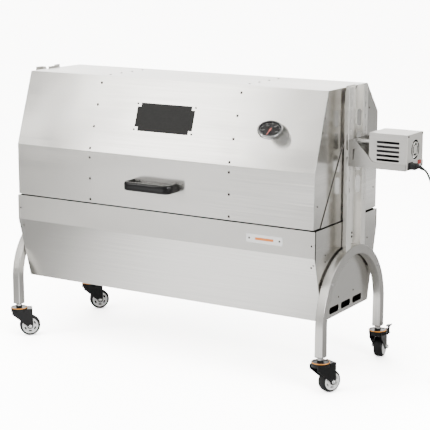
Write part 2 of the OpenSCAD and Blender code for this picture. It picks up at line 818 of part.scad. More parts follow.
// Gearbox on the case's inner wall, motor can, output shaft, and the fan's post.
module gearmotor() at_body() color(dark) {
    box_x = motor_x + 1;
    translate([box_x, -34, spit_z - 44]) cube([32, 68, 68]);
    translate([box_x + 32, 0, spit_z - 14]) rotate([0, 90, 0]) cylinder(r = 26, h = 48);
    translate([box_x + 80, 0, spit_z - 14]) rotate([0, 90, 0]) cylinder(r = 20, h = 4);
    translate([motor_end - 26, fan_y, fan_z]) rotate([0, 90, 0]) {
        cylinder(r = 9, h = 9);
        cylinder(r = 2, h = 18.5);
    }
    translate([box_x + 80, fan_y - 4, fan_z - 4]) cube([motor_end - 26 - box_x - 80 + eps, 8, 8]);
}

// Inlet socket with its flange.
module power_inlet() at_body() color(black) translate([motor_end - 16, inlet_y, inlet_z]) rotate([90, 0, 90])
    difference() {
        union() {
            linear_extrude(16 + sheet) rounded_2d(28, 20, 3);
            translate([0, 0, 16 + sheet]) linear_extrude(2) rounded_2d(33, 24, 3);
        }
        translate([0, 0, 3]) linear_extrude(30) rounded_2d(24.4, 16.4, 3);
    }

// Rocker in its bezel opening, tipped to its off side.
module rocker_switch() at_body() color("tomato") translate([motor_end + sheet, switch_y, switch_z]) {
    rotate([0, 0, -8]) translate([-7, -9, -6]) cube([10, 18, 12]);
    translate([0, 0, -6.4]) cylinder(r = 1.5, h = 12.8);
}

// ---- Cord ----

function knot(p, i) = p[min(max(i, 0), len(p) - 1)];
function spline(p, i, t) = 0.5 * (2 * knot(p, i) + (knot(p, i + 1) - knot(p, i - 1)) * t
    + (2 * knot(p, i - 1) - 5 * knot(p, i) + 4 * knot(p, i + 1) - knot(p, i + 2)) * t * t
    + (3 * knot(p, i) - knot(p, i - 1) - 3 * knot(p, i + 1) + knot(p, i + 2)) * t * t * t);
function smooth(p) =
    [for (i = [0:len(p) - 2], k = [0:cord_steps - 1]) spline(p, i, k / cord_steps), knot(p, len(p))];
function unit(v) = v / norm(v);
function heading(p, i) = unit(p[min(i + 1, len(p) - 1)] - p[max(i - 1, 0)]);
function side_of(d) = unit(cross(d, abs(d[1]) < 0.8 ? [0, 1, 0] : [0, 0, 1]));
function ring_points(p, i, r) = let (d = heading(p, i), u = side_of(d), w = cross(d, u))
    [for (k = [0:cord_sides - 1]) p[i] + r * (u * cos(k * 360 / cord_sides) + w * sin(k * 360 / cord_sides))];

// A tube swept along a list of points.
module swept_tube(p, r) {
    rings = len(p);
    n = cord_sides;
    points = [for (i = [0:rings - 1]) each ring_points(p, i, r)];
    sides = [for (i = [0:rings - 2], k = [0:n - 1])
        [i * n + k, (i + 1) * n + k, (i + 1) * n + (k + 1) % n, i * n + (k + 1) % n]];
    first = [for (k = [0:n - 1]) k];
    last = [for (k = [n - 1:-1:0]) (rings - 1) * n + k];
    polyhedron(points, concat([first], sides, [last]), convexity = 10);
}

// Connector in the inlet, with a tapered boot that turns down with the cord.
module cord_connector() at_body() color(black) translate([motor_end, inlet_y, inlet_z]) {
    boot_x = 26;
    bend_x = boot_x + 8;
    translate([-12, 0, 0]) rotate([90, 0, 90]) linear_extrude(12 + boot_x) rounded_2d(24, 16, 3);
    translate([4, 0, 0]) rotate([90, 0, 90]) linear_extrude(18) rounded_2d(28, 20, 5);
    translate([boot_x - eps, 0, 0]) rotate([0, 90, 0]) cylinder(r1 = 6.6, r2 = 5, h = bend_x - boot_x);
    translate([bend_x, 0, 0]) sphere(5.8);
    translate([bend_x, 0, 0]) rotate([0, 117, 0]) cylinder(r1 = 5, r2 = 4.5, h = 13);
}

module cord_tube() on_floor() color(black) {
    swept_tube(smooth(cord_drop), cord_r);
    swept_tube(smooth(cord_lead), cord_r);
}

module cord_coil() on_floor() color(black) translate([coil_at[0], coil_at[1], coil_z]) rotate_extrude()
    translate([coil_mean_r, 0]) circle(coil_half);

// Three-pin plug lying on the floor.
module mains_plug() on_floor() color(black) translate(plug_at) {
    rotate([-90, 0, 0]) cylinder(r1 = 4.6, r2 = 6.4, h = 22);
    translate([0, 22, 0]) rotate([-90, 0, 0]) linear_extrude(30) rounded_2d(27, 24, 6);
    for (side = [-1, 1]) translate([side * 6.35 - 0.8, 52 - eps, -3.2]) cube([1.6, 16, 6.4]);
    translate([0, 52 - eps, 7]) rotate([-90, 0, 0]) cylinder(r = 2.4, h = 18);
}

// ---- Legs ----

module arch_2d(r_out, r_in, foot) {
    difference() {
        union() {
            translate([0, arch_z]) circle(r_out, $fn = 120);
            translate([-r_out, foot]) square([2 * r_out, arch_z - foot]);
        }
        translate([0, arch_z]) circle(r_in, $fn = 120);
        translate([-r_in, foot - 1]) square([2 * r_in, arch_z - foot + 1]);
        translate([-400, foot - 400]) square([800, 400]);
    }
}

// Square tube bent to an arch, with a threaded plate closing each foot.
module leg() {
    difference() {
        along_x(leg_x, tube) arch_2d(arch_r, arch_r - tube, leg_end_z);
        along_x(leg_x + leg_wall, tube - 2 * leg_wall)
            arch_2d(arch_r - leg_wall, arch_r - tube + leg_wall, leg_end_z + 5);
        for (side = [-1, 1]) translate([caster_x, side * leg_mid, leg_end_z - 1])
            cylinder(r = stem_r + 0.1, h = 20);
    }
}

module leg_right() at_body() color(steel) leg();

module leg_left() at_body() color(steel) mirror([1, 0, 0]) leg();

// ---- Casters ----

module each_caster() {
    for (c = casters) translate([c[0], c[1], 0]) rotate(c[2]) children();
}

module at_caster(i) at_body() translate([casters[i][0], casters[i][1], 0]) rotate(casters[i][2]) children();

// Stems with a riveted head under each fork and a nut under each leg.
module caster_stems() at_body() color("gainsboro") each_caster() {
    head_h = 3.2;
    translate([0, 0, crown_z - gap - head_h]) cylinder(r = 9, h = head_h);
    translate([0, 0, crown_z - gap - eps]) cylinder(r = stem_r, h = 46);
    translate([0, 0, leg_end_z - 8]) cylinder(r = 10.5, h = 8, $fn = 6);
}

// Dished caps under the nuts.
module caster_caps() at_body() color(black) each_caster() difference() {
    union() {
        translate([0, 0, 97]) cylinder(r1 = 27, r2 = 29, h = 3);
        translate([0, 0, 97]) cylinder(r = 11, h = leg_end_z - 8 - 97);
    }
    translate([0, 0, 98.5]) difference() {
        cylinder(r1 = 25.5, r2 = 27.5, h = 3);
        cylinder(r = 11, h = 4);
    }
    translate([0, 0, 90]) cylinder(r = stem_r, h = 30);
}

// Coloured rings round the caps.
module caster_rings() at_body() color("darkorange") each_caster() difference() {
    translate([0, 0, 97.1]) {
        cylinder(r1 = ring_r - 0.8, r2 = ring_r, h = 1.4);
        translate([0, 0, 1.4]) cylinder(r1 = ring_r, r2 = ring_r - 0.8, h = 1.4);
    }
    translate([0, 0, 97]) cylinder(r1 = 27, r2 = 29, h = 3);
}

// Crown, roof and two cheeks, with the axle riveted between the cheeks.
module caster_fork() {
    difference() {
        union() {
            translate([0, 0, crown_z]) cylinder(r = cup_r, h = 12.5);
            translate([0, -cheek_y - cheek, crown_z]) cube([48, 2 * (cheek_y + cheek), 10]);
            for (side = [-1, 1]) translate([0, side * (cheek_y + cheek / 2) + cheek / 2, 0])
                rotate([90, 0, 0]) linear_extrude(cheek) cheek_2d();
        }
        translate([0, 0, crown_z - 1]) cylinder(r = stem_r + fit, h = 20);
        translate([16, -cheek_y, crown_z - 5]) cube([28, 2 * cheek_y, 12]);
    }
    translate([trail, cheek_y + cheek + 3, axle_z]) rotate([90, 0, 0])
        cylinder(r = axle_r, h = 2 * (cheek_y + cheek + 3));
    for (side = [-1, 1]) translate([trail, side * (cheek_y + cheek), axle_z]) rotate([-90 * side, 0, 0]) {
        cylinder(r = 7, h = 3);
        translate([0, 0, 3]) cylinder(r1 = 6.4, r2 = 3.4, h = 3);
    }
}

module cheek_2d() {
    horn_z = crown_z + 11;
    difference() {
        union() {
            polygon([[-27, crown_z + 8], [28, crown_z + 8], [32, horn_z], [46, horn_z], [48, horn_z - 3],
                [48, 62], [trail + 11, axle_z], [trail - 11, axle_z], [-27, crown_z - 8]]);
            translate([trail, axle_z]) circle(11);
        }
        translate([trail, axle_z]) circle(axle_r);
    }
}

// Hub with a bore, a raised boss and rim, and six curved slots through it.
module caster_hub() {
    hub_r = wheel_r - 9;
    slot_in = 17;
    slot_out = 23;
    half = wheel_w / 2;
    translate([trail, 0, axle_z]) rotate([90, 0, 0]) difference() {
        translate([0, 0, -half]) cylinder(r = hub_r, h = wheel_w);
        translate([0, 0, -wheel_w]) cylinder(r = axle_r + fit, h = 2 * wheel_w);
        translate([0, 0, -wheel_w]) linear_extrude(2 * wheel_w) difference() {
            circle(slot_out);
            circle(slot_in);
            for (a = [0, 60, 120]) rotate(a) square([3 * slot_out, 9], center = true);
        }
        for (side = [-1, 1]) translate([0, 0, side * half]) difference() {
            cylinder(r = hub_r - 3, h = 3, center = true);
            cylinder(r = 12, h = 4, center = true);
        }
    }
}

// Tyre with rounded shoulders.
module caster_tyre() {
    shoulder = 9;
    half = wheel_w / 2;
    translate([trail, 0, axle_z]) rotate([90, 0, 0]) rotate_extrude($fn = 72) {
        difference() {
            translate([wheel_r - 9, -half]) square([9, wheel_w]);
            for (side = [-1, 1]) scale([1, side])
                translate([wheel_r - shoulder + 2, half - shoulder + 2]) difference() {
                    square(20);
                    circle(shoulder - 2);
                }
        }
    }
}

// Ears and pin that carry a brake lever beside the fork's crown.
module brake_ears() {
    for (x = [-5, lever_w + gap]) translate([x, 0, 0]) rotate([90, 0, 90]) linear_extrude(5 - gap) {
        translate([lever_y, lever_z]) circle(4);
        translate([cheek_y, lever_z - 4]) square([lever_y - cheek_y, 8]);
    }
    translate([-5, lever_y, lever_z]) rotate([0, 90, 0]) cylinder(r = 1.5, h = lever_w + 10 - gap);
}

// Side lever with its foot pad, turning on the pin between the ears.
module brake_lever() {
    difference() {
        union() {
            rotate([90, 0, 90]) linear_extrude(lever_w) {
                translate([lever_y, lever_z]) circle(3);
                polygon([[lever_y - 3, lever_z], [lever_y + 3, lever_z], [lever_y + 4, lever_z + 22],
                    [lever_y + 7, lever_z + 28], [lever_y - 1, lever_z + 28], [lever_y - 2, lever_z + 10]]);
            }
            translate([-4, lever_y - 6, lever_z + 25]) rotate([14, 0, 0]) cube([lever_w + 8, 17, 4]);
        }
        translate([-1, lever_y, lever_z]) rotate([0, 90, 0]) cylinder(r = 1.5 + fit, h = lever_w + 2);
    }
}

module caster_fork_fl() at_caster(0) color(black) caster_fork();
module caster_fork_fr() at_caster(1) color(black) caster_fork();
module caster_fork_rl() at_caster(2) color(black) {
    caster_fork();
    brake_ears();
}
module caster_fork_rr() at_caster(3) color(black) {
    caster_fork();
    mirror([0, 1, 0]) brake_ears();
}
module caster_hub_fl() at_caster(0) color("white") caster_hub();
module caster_hub_fr() at_caster(1) color("white") caster_hub();
module caster_hub_rl() at_caster(2) color("white") caster_hub();
module caster_hub_rr() at_caster(3) color("white") caster_hub();
module caster_tyre_fl() at_caster(0) color(black) caster_tyre();
module caster_tyre_fr() at_caster(1) color(black) caster_tyre();
module caster_tyre_rl() at_caster(2) color(black) caster_tyre();
module caster_tyre_rr() at_caster(3) color(black) caster_tyre();
module brake_lever_rl() at_caster(2) color(dark) brake_lever();
module brake_lever_rr() at_caster(3) color(dark) mirror([0, 1, 0]) brake_lever();

trough_shell();
base_end_right();
base_end_left();
spit_shields();
blank_plate();
base_fasteners();
charcoal_tray();
hinge_lower_leaves();
hinge_upper_leaves();
hinge_pins();
hood_shell();
hood_end_right();
hood_end_left();
hood_ribs();
hood_fasteners();
window_glass();
window_frame();
hood_handle();
thermometer_case();
thermometer_dial();
thermometer_pointer();
thermometer_lens();
post_right();
post_left();
bearing_bracket();
bearing_bush();
spit_rod();
spit_forks();
fork_screws();
spit_coupling();
motor_bracket();
motor_cover();
motor_end_plate();
fan_rotor();
gearmotor();
power_inlet();
rocker_switch();
cord_connector();
cord_tube();
cord_coil();
mains_plug();
leg_right();
leg_left();
caster_stems();
caster_caps();
caster_rings();
caster_fork_fl();
caster_fork_fr();
caster_fork_rl();
caster_fork_rr();
caster_hub_fl();
caster_hub_fr();
caster_hub_rl();
caster_hub_rr();
caster_tyre_fl();
caster_tyre_fr();
caster_tyre_rl();
caster_tyre_rr();
brake_lever_rl();
brake_lever_rr();
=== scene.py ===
import json
import math

import bmesh
import bpy
from mathutils import Matrix, Vector


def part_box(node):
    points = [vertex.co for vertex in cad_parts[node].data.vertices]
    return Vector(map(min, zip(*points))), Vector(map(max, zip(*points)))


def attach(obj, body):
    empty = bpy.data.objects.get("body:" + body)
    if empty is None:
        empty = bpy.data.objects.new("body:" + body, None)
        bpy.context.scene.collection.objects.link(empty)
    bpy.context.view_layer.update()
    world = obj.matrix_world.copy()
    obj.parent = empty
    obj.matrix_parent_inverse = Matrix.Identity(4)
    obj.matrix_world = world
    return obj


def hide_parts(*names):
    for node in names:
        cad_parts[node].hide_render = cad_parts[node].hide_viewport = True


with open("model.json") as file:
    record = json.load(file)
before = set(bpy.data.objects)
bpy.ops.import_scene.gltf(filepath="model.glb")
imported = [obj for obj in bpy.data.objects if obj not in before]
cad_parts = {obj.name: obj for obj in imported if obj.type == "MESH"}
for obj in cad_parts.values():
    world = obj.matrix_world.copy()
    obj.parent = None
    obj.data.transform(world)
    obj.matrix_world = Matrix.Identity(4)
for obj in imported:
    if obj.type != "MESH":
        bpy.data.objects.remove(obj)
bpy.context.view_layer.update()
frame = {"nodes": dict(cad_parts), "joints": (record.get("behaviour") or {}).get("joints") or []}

NODES = frame["nodes"]
JOINTS = {joint["name"]: joint for joint in frame["joints"]}
CASTERS = ("fl", "fr", "rl", "rr")

# The cooking body's middle, which the CAD source calls body_x and body_y.
TROUGH_LOW, TROUGH_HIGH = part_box("trough_shell")
BODY_X = (TROUGH_LOW.x + TROUGH_HIGH.x) / 2
BODY_Y = (TROUGH_LOW.y + TROUGH_HIGH.y) / 2
FRONT_Y = TROUGH_LOW.y


# ---- Camera ----

def add_camera():
    """The camera stands to the right of the front, a little above the hood, and looks slightly down."""
    data = bpy.data.cameras.new("camera")
    data.lens = 114.9
    data.sensor_width = 36
    data.shift_x = -0.0014
    data.shift_y = -0.0071
    data.clip_end = 200
    camera = bpy.data.objects.new("camera", data)
    bpy.context.scene.collection.objects.link(camera)
    turn = Matrix.Rotation(math.radians(31.59), 4, "Z")
    tip = Matrix.Rotation(math.radians(90 - 11.54), 4, "X")
    roll = Matrix.Rotation(math.radians(0.09), 4, "Z")
    place = Matrix.Translation((BODY_X + 2.5394, BODY_Y - 3.9785, 1.4558))
    camera.matrix_world = place @ turn @ tip @ roll
    bpy.context.scene.camera = camera


# ---- Mesh helpers ----

def link_mesh(name, bm, smooth=True):
    """Turns a bmesh into an object in the scene."""
    bmesh.ops.recalc_face_normals(bm, faces=bm.faces)
    mesh = bpy.data.meshes.new(name)
    bm.to_mesh(mesh)
    bm.free()
    for polygon in mesh.polygons:
        polygon.use_smooth = smooth
    piece = bpy.data.objects.new(name, mesh)
    bpy.context.scene.collection.objects.link(piece)
    return piece


def loft(name, rings, closed=False, smooth=True):
    """Joins rings of points; the ends are capped unless the rings close on themselves."""
    bm = bmesh.new()
    rows = [[bm.verts.new(point) for point in ring] for ring in rings]
    count = len(rows[0])
    steps = len(rows) if closed else len(rows) - 1
    for i in range(steps):
        low, high = rows[i], rows[(i + 1) % len(rows)]
        for k in range(count):
            bm.faces.new((low[k], low[(k + 1) % count], high[(k + 1) % count], high[k]))
    if not closed:
        bm.faces.new(rows[0])
        bm.faces.new(rows[-1])
    return link_mesh(name, bm, smooth)


def revolve(name, profile, centre, axis, steps=64, closed=False):
    """Turns a profile of (radius, distance along the axis) about the axis through centre."""
    axis = Vector(axis).normalized()
    side = axis.orthogonal().normalized()
    other = axis.cross(side)
    rings = []
    for radius, along in profile:
        ring = []
        for k in range(steps):
            a = 2 * math.pi * k / steps
            ring.append(Vector(centre) + axis * along + radius * (side * math.cos(a) + other * math.sin(a)))
        rings.append(ring)
    return loft(name, rings, closed)


def spline(points, steps):
    """A Catmull-Rom line through points, with steps pieces between each pair."""
    points = [Vector(p) for p in points]
    line = []
    for i in range(len(points) - 1):
        before, start = points[max(i - 1, 0)], points[i]
        end, after = points[i + 1], points[min(i + 2, len(points) - 1)]
        for k in range(steps):
            t = k / steps
            line.append(0.5 * (2 * start + (end - before) * t
                               + (2 * before - 5 * start + 4 * end - after) * t * t
                               + (3 * start - before - 3 * end + after) * t * t * t))
    line.append(points[-1])
    return line


def tube(name, line, radius, sides=12):
    """A round tube along a line of points, whose ring doesn't twist from point to point."""
    rings = []
    side = None
    for i, point in enumerate(line):
        heading = (line[min(i + 1, len(line) - 1)] - line[max(i - 1, 0)]).normalized()
        if side is None:
            side = heading.orthogonal().normalized()
        side = (side - heading * side.dot(heading)).normalized()
        other = heading.cross(side)
        ring = []
        for k in range(sides):
            a = 2 * math.pi * k / sides
            ring.append(point + radius * (side * math.cos(a) + other * math.sin(a)))
        rings.append(ring)
    return loft(name, rings)


# ---- Material helpers ----

def combined(tree, operation, a, b):
    """The sum (ADD) or the product (MULTIPLY) of two values in a node tree."""
    node = tree.nodes.new("ShaderNodeMath")
    node.operation = operation
    tree.links.new(a, node.inputs[0])
    tree.links.new(b, node.inputs[1])
    return node.outputs[0]


def mapped(tree, value, start, end, low, high, smooth=False):
    """A value from start to end, mapped to low to high in a node tree."""
    node = tree.nodes.new("ShaderNodeMapRange")
    if smooth:
        node.interpolation_type = "SMOOTHSTEP"
    limits = (("From Min", start), ("From Max", end), ("To Min", low), ("To Max", high))
    for socket, number in limits:
        node.inputs[socket].default_value = number
    tree.links.new(value, node.inputs["Value"])
    return node.outputs["Result"]


class Finish:
    """A Principled material with noises in object space; sizes are in metres."""

    def __init__(self, name, colour, metallic=0.0, roughness=0.5, shine=0.5):
        self.material = bpy.data.materials.new(name)
        self.material.use_nodes = True
        self.tree = self.material.node_tree
        self.shader = self.tree.nodes["Principled BSDF"]
        self.colour = colour
        self.bump_out = None
        self.shader.inputs["Base Color"].default_value = (*colour, 1)
        self.shader.inputs["Metallic"].default_value = metallic
        self.shader.inputs["Roughness"].default_value = roughness
        self.shader.inputs["Specular IOR Level"].default_value = shine

    def noise(self, size, detail=3.0, roughness=0.5, distortion=0.0):
        """A noise whose features are about size = (x, y, z) across."""
        coords = self.tree.nodes.new("ShaderNodeTexCoord")
        mapping = self.tree.nodes.new("ShaderNodeMapping")
        mapping.inputs["Scale"].default_value = [1 / s for s in size]
        self.tree.links.new(coords.outputs["Object"], mapping.inputs["Vector"])
        noise = self.tree.nodes.new("ShaderNodeTexNoise")
        noise.inputs["Scale"].default_value = 1
        noise.inputs["Detail"].default_value = detail
        noise.inputs["Roughness"].default_value = roughness
        noise.inputs["Distortion"].default_value = distortion
        self.tree.links.new(mapping.outputs["Vector"], noise.inputs["Vector"])
        return noise.outputs["Fac"]

    def ranged(self, value, low, high, start=0.3, end=0.7):
        """A value from start to end, mapped to low to high."""
        return mapped(self.tree, value, start, end, low, high)

    def rough(self, *values):
        """The sum of these values drives the roughness."""
        total = values[0]
        for value in values[1:]:
            total = combined(self.tree, "ADD", total, value)
        self.tree.links.new(total, self.shader.inputs["Roughness"])
        return self

    def tint(self, value, colour):
        """Mixes the colour so far towards another one by value."""
        mix = self.tree.nodes.new("ShaderNodeMix")
        mix.data_type = "RGBA"
        base = self.shader.inputs["Base Color"]
        if base.links:
            self.tree.links.new(base.links[0].from_socket, mix.inputs[6])
        else:
            mix.inputs[6].default_value = (*self.colour, 1)
        mix.inputs[7].default_value = (*colour, 1)
        self.tree.links.new(value, mix.inputs[0])
        self.tree.links.new(mix.outputs[2], base)
        return self

    def bump(self, value, depth, strength=1.0):
        """Adds a bump of that depth in metres."""
        node = self.tree.nodes.new("ShaderNodeBump")
        node.inputs["Distance"].default_value = depth
        node.inputs["Strength"].default_value = strength
        self.tree.links.new(value, node.inputs["Height"])
        if self.bump_out is not None:
            self.tree.links.new(self.bump_out, node.inputs["Normal"])
        self.bump_out = node.outputs["Normal"]
        self.tree.links.new(self.bump_out, self.shader.inputs["Normal"])
        return self

    def brush(self, axis, strength):
        """Stretches reflections across the brushing; axis is the one that the sheet is folded about."""
        tangent = self.tree.nodes.new("ShaderNodeTangent")
        tangent.direction_type = "RADIAL"
        tangent.axis = axis
        self.tree.links.new(tangent.outputs["Tangent"], self.shader.inputs["Tangent"])
        self.shader.inputs["Anisotropic"].default_value = strength
        return self

    def painted_crevice_shade(self, distance, colour):
        """Paints shade into the colour: darkens it where the piece's own faces close in on each other."""
        near = self.tree.nodes.new("ShaderNodeAmbientOcclusion")
        near.samples = 8
        near.only_local = True
        near.inputs["Distance"].default_value = distance
        return self.tint(self.ranged(near.outputs["AO"], 1.0, 0.0, 0.25, 0.7), colour)


def shade(colour, factor):
    """A colour made darker or lighter."""
    return tuple(c * factor for c in colour)


def brushed(name, colour, along, roughness=0.3, streak=1.0, wave=1.0, grain=0.8, painted_crevice_shade=0.0):
    """Brushed stainless sheet: streaks along one axis, faint smudges and slack in the sheet, and painted shade
    in its own corners when a reach for it is given.
    """
    finish = Finish(name, colour, metallic=1.0, roughness=roughness)
    finish.brush("XYZ"[along], grain)
    fine = [0.0009, 0.0009, 0.0009]
    broad = [0.006, 0.006, 0.006]
    cloudy = [0.07, 0.07, 0.07]
    fine[along] = 0.4
    broad[along] = 1.8
    cloudy[along] = 0.6
    lines = finish.noise(fine, detail=3)
    bands = finish.noise(broad, detail=4, roughness=0.6)
    clouds = finish.noise(cloudy, detail=3, roughness=0.5)
    smudge = finish.noise((0.16, 0.12, 0.14), detail=5, roughness=0.6)
    slack = finish.noise((0.5, 0.34, 0.34), detail=1.5)
    finish.tint(finish.ranged(lines, 0.0, 0.8 * streak), shade(colour, 0.80))
    finish.tint(finish.ranged(bands, 0.0, 0.6 * streak), shade(colour, 0.86))
    finish.tint(finish.ranged(clouds, 0.0, 0.4 * streak), shade(colour, 0.90))
    finish.tint(finish.ranged(smudge, 0.0, 0.3, 0.45, 0.8), shade(colour, 0.88))
    finish.rough(finish.ranged(lines, roughness - 0.04, roughness + 0.05),
                 finish.ranged(clouds, -0.02, 0.03))
    finish.bump(slack, 0.004 * wave)
    finish.bump(lines, 0.000005 * streak)
    # Painted shade: near black where the piece's own faces close in.
    if painted_crevice_shade:
        finish.painted_crevice_shade(painted_crevice_shade, shade(colour, 0.05))
    return finish.material


def plain_metal(name, colour, roughness, grain=0.0015, depth=0.00001):
    """Turned, drawn or plated metal with a fine even grain."""
    finish = Finish(name, colour, metallic=1.0, roughness=roughness)
    fine = finish.noise((grain, grain, grain), detail=4)
    cloud = finish.noise((0.03, 0.03, 0.03), detail=3)
    finish.tint(finish.ranged(cloud, 0.0, 0.5), shade(colour, 0.82))
    finish.rough(finish.ranged(fine, roughness - 0.05, roughness + 0.06))
    finish.bump(fine, depth)
    return finish.material


def moulded(name, colour, roughness=0.35, depth=0.00003, grain=0.0008,
            worn=(0.035, 0.035, 0.035), shine=0.25):
    """Moulded plastic or rubber with a fine texture and faint dust."""
    finish = Finish(name, colour, roughness=roughness, shine=shine)
    fine = finish.noise((grain, grain, grain), detail=3)
    dust = finish.noise((0.012, 0.012, 0.012), detail=6, roughness=0.65)
    finish.tint(finish.ranged(dust, 0.0, 0.35, 0.5, 0.85), worn)
    finish.rough(finish.ranged(fine, roughness - 0.05, roughness + 0.07),
                 finish.ranged(dust, -0.03, 0.08))
    finish.bump(fine, depth)
    return finish.material


def painted(name, colour, roughness=0.4, edge=(0.3, 0.3, 0.3), coat=0.3, shine=0.5):
    """Powder coat or enamel with a slight orange peel."""
    finish = Finish(name, colour, roughness=roughness, shine=shine)
    finish.shader.inputs["Coat Weight"].default_value = coat
    finish.shader.inputs["Coat Roughness"].default_value = 0.2
    peel = finish.noise((0.003, 0.003, 0.003), detail=2)
    marks = finish.noise((0.02, 0.02, 0.02), detail=6, roughness=0.7)
    finish.tint(finish.ranged(marks, 0.0, 0.3, 0.62, 0.8), edge)
    finish.rough(finish.ranged(marks, roughness - 0.04, roughness + 0.1))
    finish.bump(peel, 0.00006)
    return finish.material


# ---- Placing helpers ----

def wear(material, *names):
    """Gives CAD nodes or pieces a material."""
    for name in names:
        piece = NODES[name] if isinstance(name, str) else name
        if not piece.data.materials:
            piece.data.materials.append(material)
        for i in range(len(piece.data.materials)):
            piece.data.materials[i] = material
        for slot in piece.material_slots:
            slot.material = material


def wear_where(material, name, test):
    """Gives a second material to the faces of a CAD node whose middle and normal pass a test."""
    piece = NODES[name]
    piece.data.materials.append(material)
    for polygon in piece.data.polygons:
        if test(piece.matrix_world @ polygon.center, polygon.normal):
            polygon.material_index = len(piece.data.materials) - 1


def soften(width, *names, angle=25, segments=2):
    """Rounds the sharp edges of CAD nodes or pieces, so that they catch the light."""
    for name in names:
        piece = NODES[name] if isinstance(name, str) else name
        weld = piece.modifiers.new("weld", "WELD")
        weld.merge_threshold = 0.000002
        bevel = piece.modifiers.new("bevel", "BEVEL")
        bevel.width = width
        bevel.segments = segments
        bevel.limit_method = "ANGLE"
        bevel.angle_limit = math.radians(angle)
        normals = piece.modifiers.new("normals", "WEIGHTED_NORMAL")
        normals.mode = "FACE_AREA"
        normals.weight = 60
        for polygon in piece.data.polygons:
            polygon.use_smooth = True


# ---- Cord ----

# The lead's free stretches, in metres: x and y from the cooking body's middle, z from the floor.
# They are the same points as in the CAD source.
CORD_DROP = [
    (0.876, -0.041, 0.7315), (0.88, -0.041, 0.73), (0.885, -0.041, 0.727), (0.89, -0.041, 0.7225),
    (0.894, -0.041, 0.7165), (0.898, -0.041, 0.709), (0.902, -0.041, 0.7005), (0.906, -0.041, 0.6915),
    (0.911, -0.041, 0.679), (0.917, -0.041, 0.663), (0.923, -0.041, 0.644), (0.929, -0.041, 0.622),
    (0.9345, -0.041, 0.598), (0.939, -0.041, 0.571), (0.9425, -0.041, 0.541), (0.945, -0.041, 0.508),
    (0.946, -0.041, 0.47), (0.946, -0.041, 0.43), (0.946, -0.041, 0.39), (0.946, -0.041, 0.35),
    (0.946, -0.041, 0.31), (0.946, -0.041, 0.27), (0.946, -0.041, 0.23), (0.946, -0.041, 0.19),
    (0.946, -0.041, 0.15), (0.946, -0.041, 0.11), (0.946, -0.04, 0.075), (0.947, -0.036, 0.045),
    (0.949, -0.027, 0.024), (0.952, -0.014, 0.01), (0.957, 0.002, 0.0046), (0.964, 0.018, 0.0038),
    (0.97, 0.034, 0.0036), (0.9755, 0.05, 0.0036), (0.979, 0.064, 0.004), (0.981, 0.079, 0.0051),
]
CORD_LEAD = [
    (0.981, 0.079, 0.0123), (0.981, 0.093, 0.0115), (0.9785, 0.108, 0.0085), (0.974, 0.123, 0.005),
    (0.968, 0.138, 0.0038), (0.962, 0.152, 0.0042), (0.958, 0.166, 0.007), (0.9565, 0.178, 0.0105),
    (0.956, 0.19, 0.012), (0.956, 0.202, 0.012),
]
CORD_DIAMETER = 0.007
COIL_CENTRE = (0.939, 0.079)
COIL_RADIUS = 0.0385
COIL_MIDDLE_Z = 0.0087
COIL_SPREAD = 0.0051


def from_body(points):
    """The same points in the part's own frame."""
    return [Vector((x + BODY_X, y + BODY_Y, z)) for x, y, z in points]


def coil_line():
    """Three turns that wind round the middle of their own bundle, so that no turn meets another."""
    turns = 3
    steps = 36
    first_wind = math.radians(-45)
    line = []
    for i in range(1, turns * steps):
        a = 2 * math.pi * i / steps
        wind = first_wind - a / 4
        radius = COIL_RADIUS + COIL_SPREAD * math.cos(wind)
        x = COIL_CENTRE[0] + radius * math.cos(a)
        y = COIL_CENTRE[1] + radius * math.sin(a)
        line.append((x, y, COIL_MIDDLE_Z + COIL_SPREAD * math.sin(wind)))
    return from_body(line)


def add_cord():
    """The mains lead: down from the inlet's boot to the floor, a coil, and out to the plug."""
    drop = spline(from_body(CORD_DROP), 4)
    line = drop + coil_line() + spline(from_body(CORD_LEAD), 4)
    cord = tube("mains_cord", line, CORD_DIAMETER / 2)
    wear(moulded("cord_sheath", (0.022, 0.022, 0.023), roughness=0.42, worn=(0.05, 0.05, 0.05)), cord)
    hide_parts("cord_tube", "cord_coil")
    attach(cord, "stand")
    tie = coil_tie()


def coil_tie():
    """A strap of hook-and-loop tape round the coil's bundle."""
    bundle = from_body([(COIL_CENTRE[0] - COIL_RADIUS, COIL_CENTRE[1], COIL_MIDDLE_Z)])[0]
    half_width = 0.009
    thickness = 0.0012
    inner = COIL_SPREAD + CORD_DIAMETER / 2 + 0.0002
    above_floor = 0.0003
    steps = 28
    rings = []
    for k in range(steps):
        a = 2 * math.pi * k / steps
        ring = []
        for grow, along in ((0, -1), (0, 1), (thickness, 1), (thickness, -1)):
            x = (inner + grow) * math.cos(a)
            z = max((inner + grow) * math.sin(a), above_floor - bundle.z)
            ring.append(bundle + Vector((x, along * half_width, z)))
        rings.append(ring)
    tie = loft("coil_tie", rings, closed=True)
    wear(moulded("tie_tape", (0.03, 0.03, 0.03), roughness=0.8, grain=0.0006, depth=0.0002), tie)
    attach(tie, "stand")
    return tie


# ---- Pieces that replace plain CAD solids ----

HANDLE_DEEP = 0.013
HANDLE_CORNER = 0.024 - HANDLE_DEEP / 2


def handle_line(run, reach):
    """The bow as (x, distance from the hood): out, along and back, with round corners."""
    steps = 8
    bends = [math.pi / 2 * k / steps for k in range(steps + 1)]
    sides = [(1 - math.cos(a), 1 - math.sin(a)) for a in bends]
    out = [(-run + HANDLE_CORNER * x, reach - HANDLE_CORNER * y) for x, y in sides]
    back = [(run - HANDLE_CORNER * x, reach - HANDLE_CORNER * y) for x, y in reversed(sides)]
    return [(-run, 0.0)] + out + [(-run * 0.4, reach), (run * 0.4, reach)] + back + [(run, 0.0)]


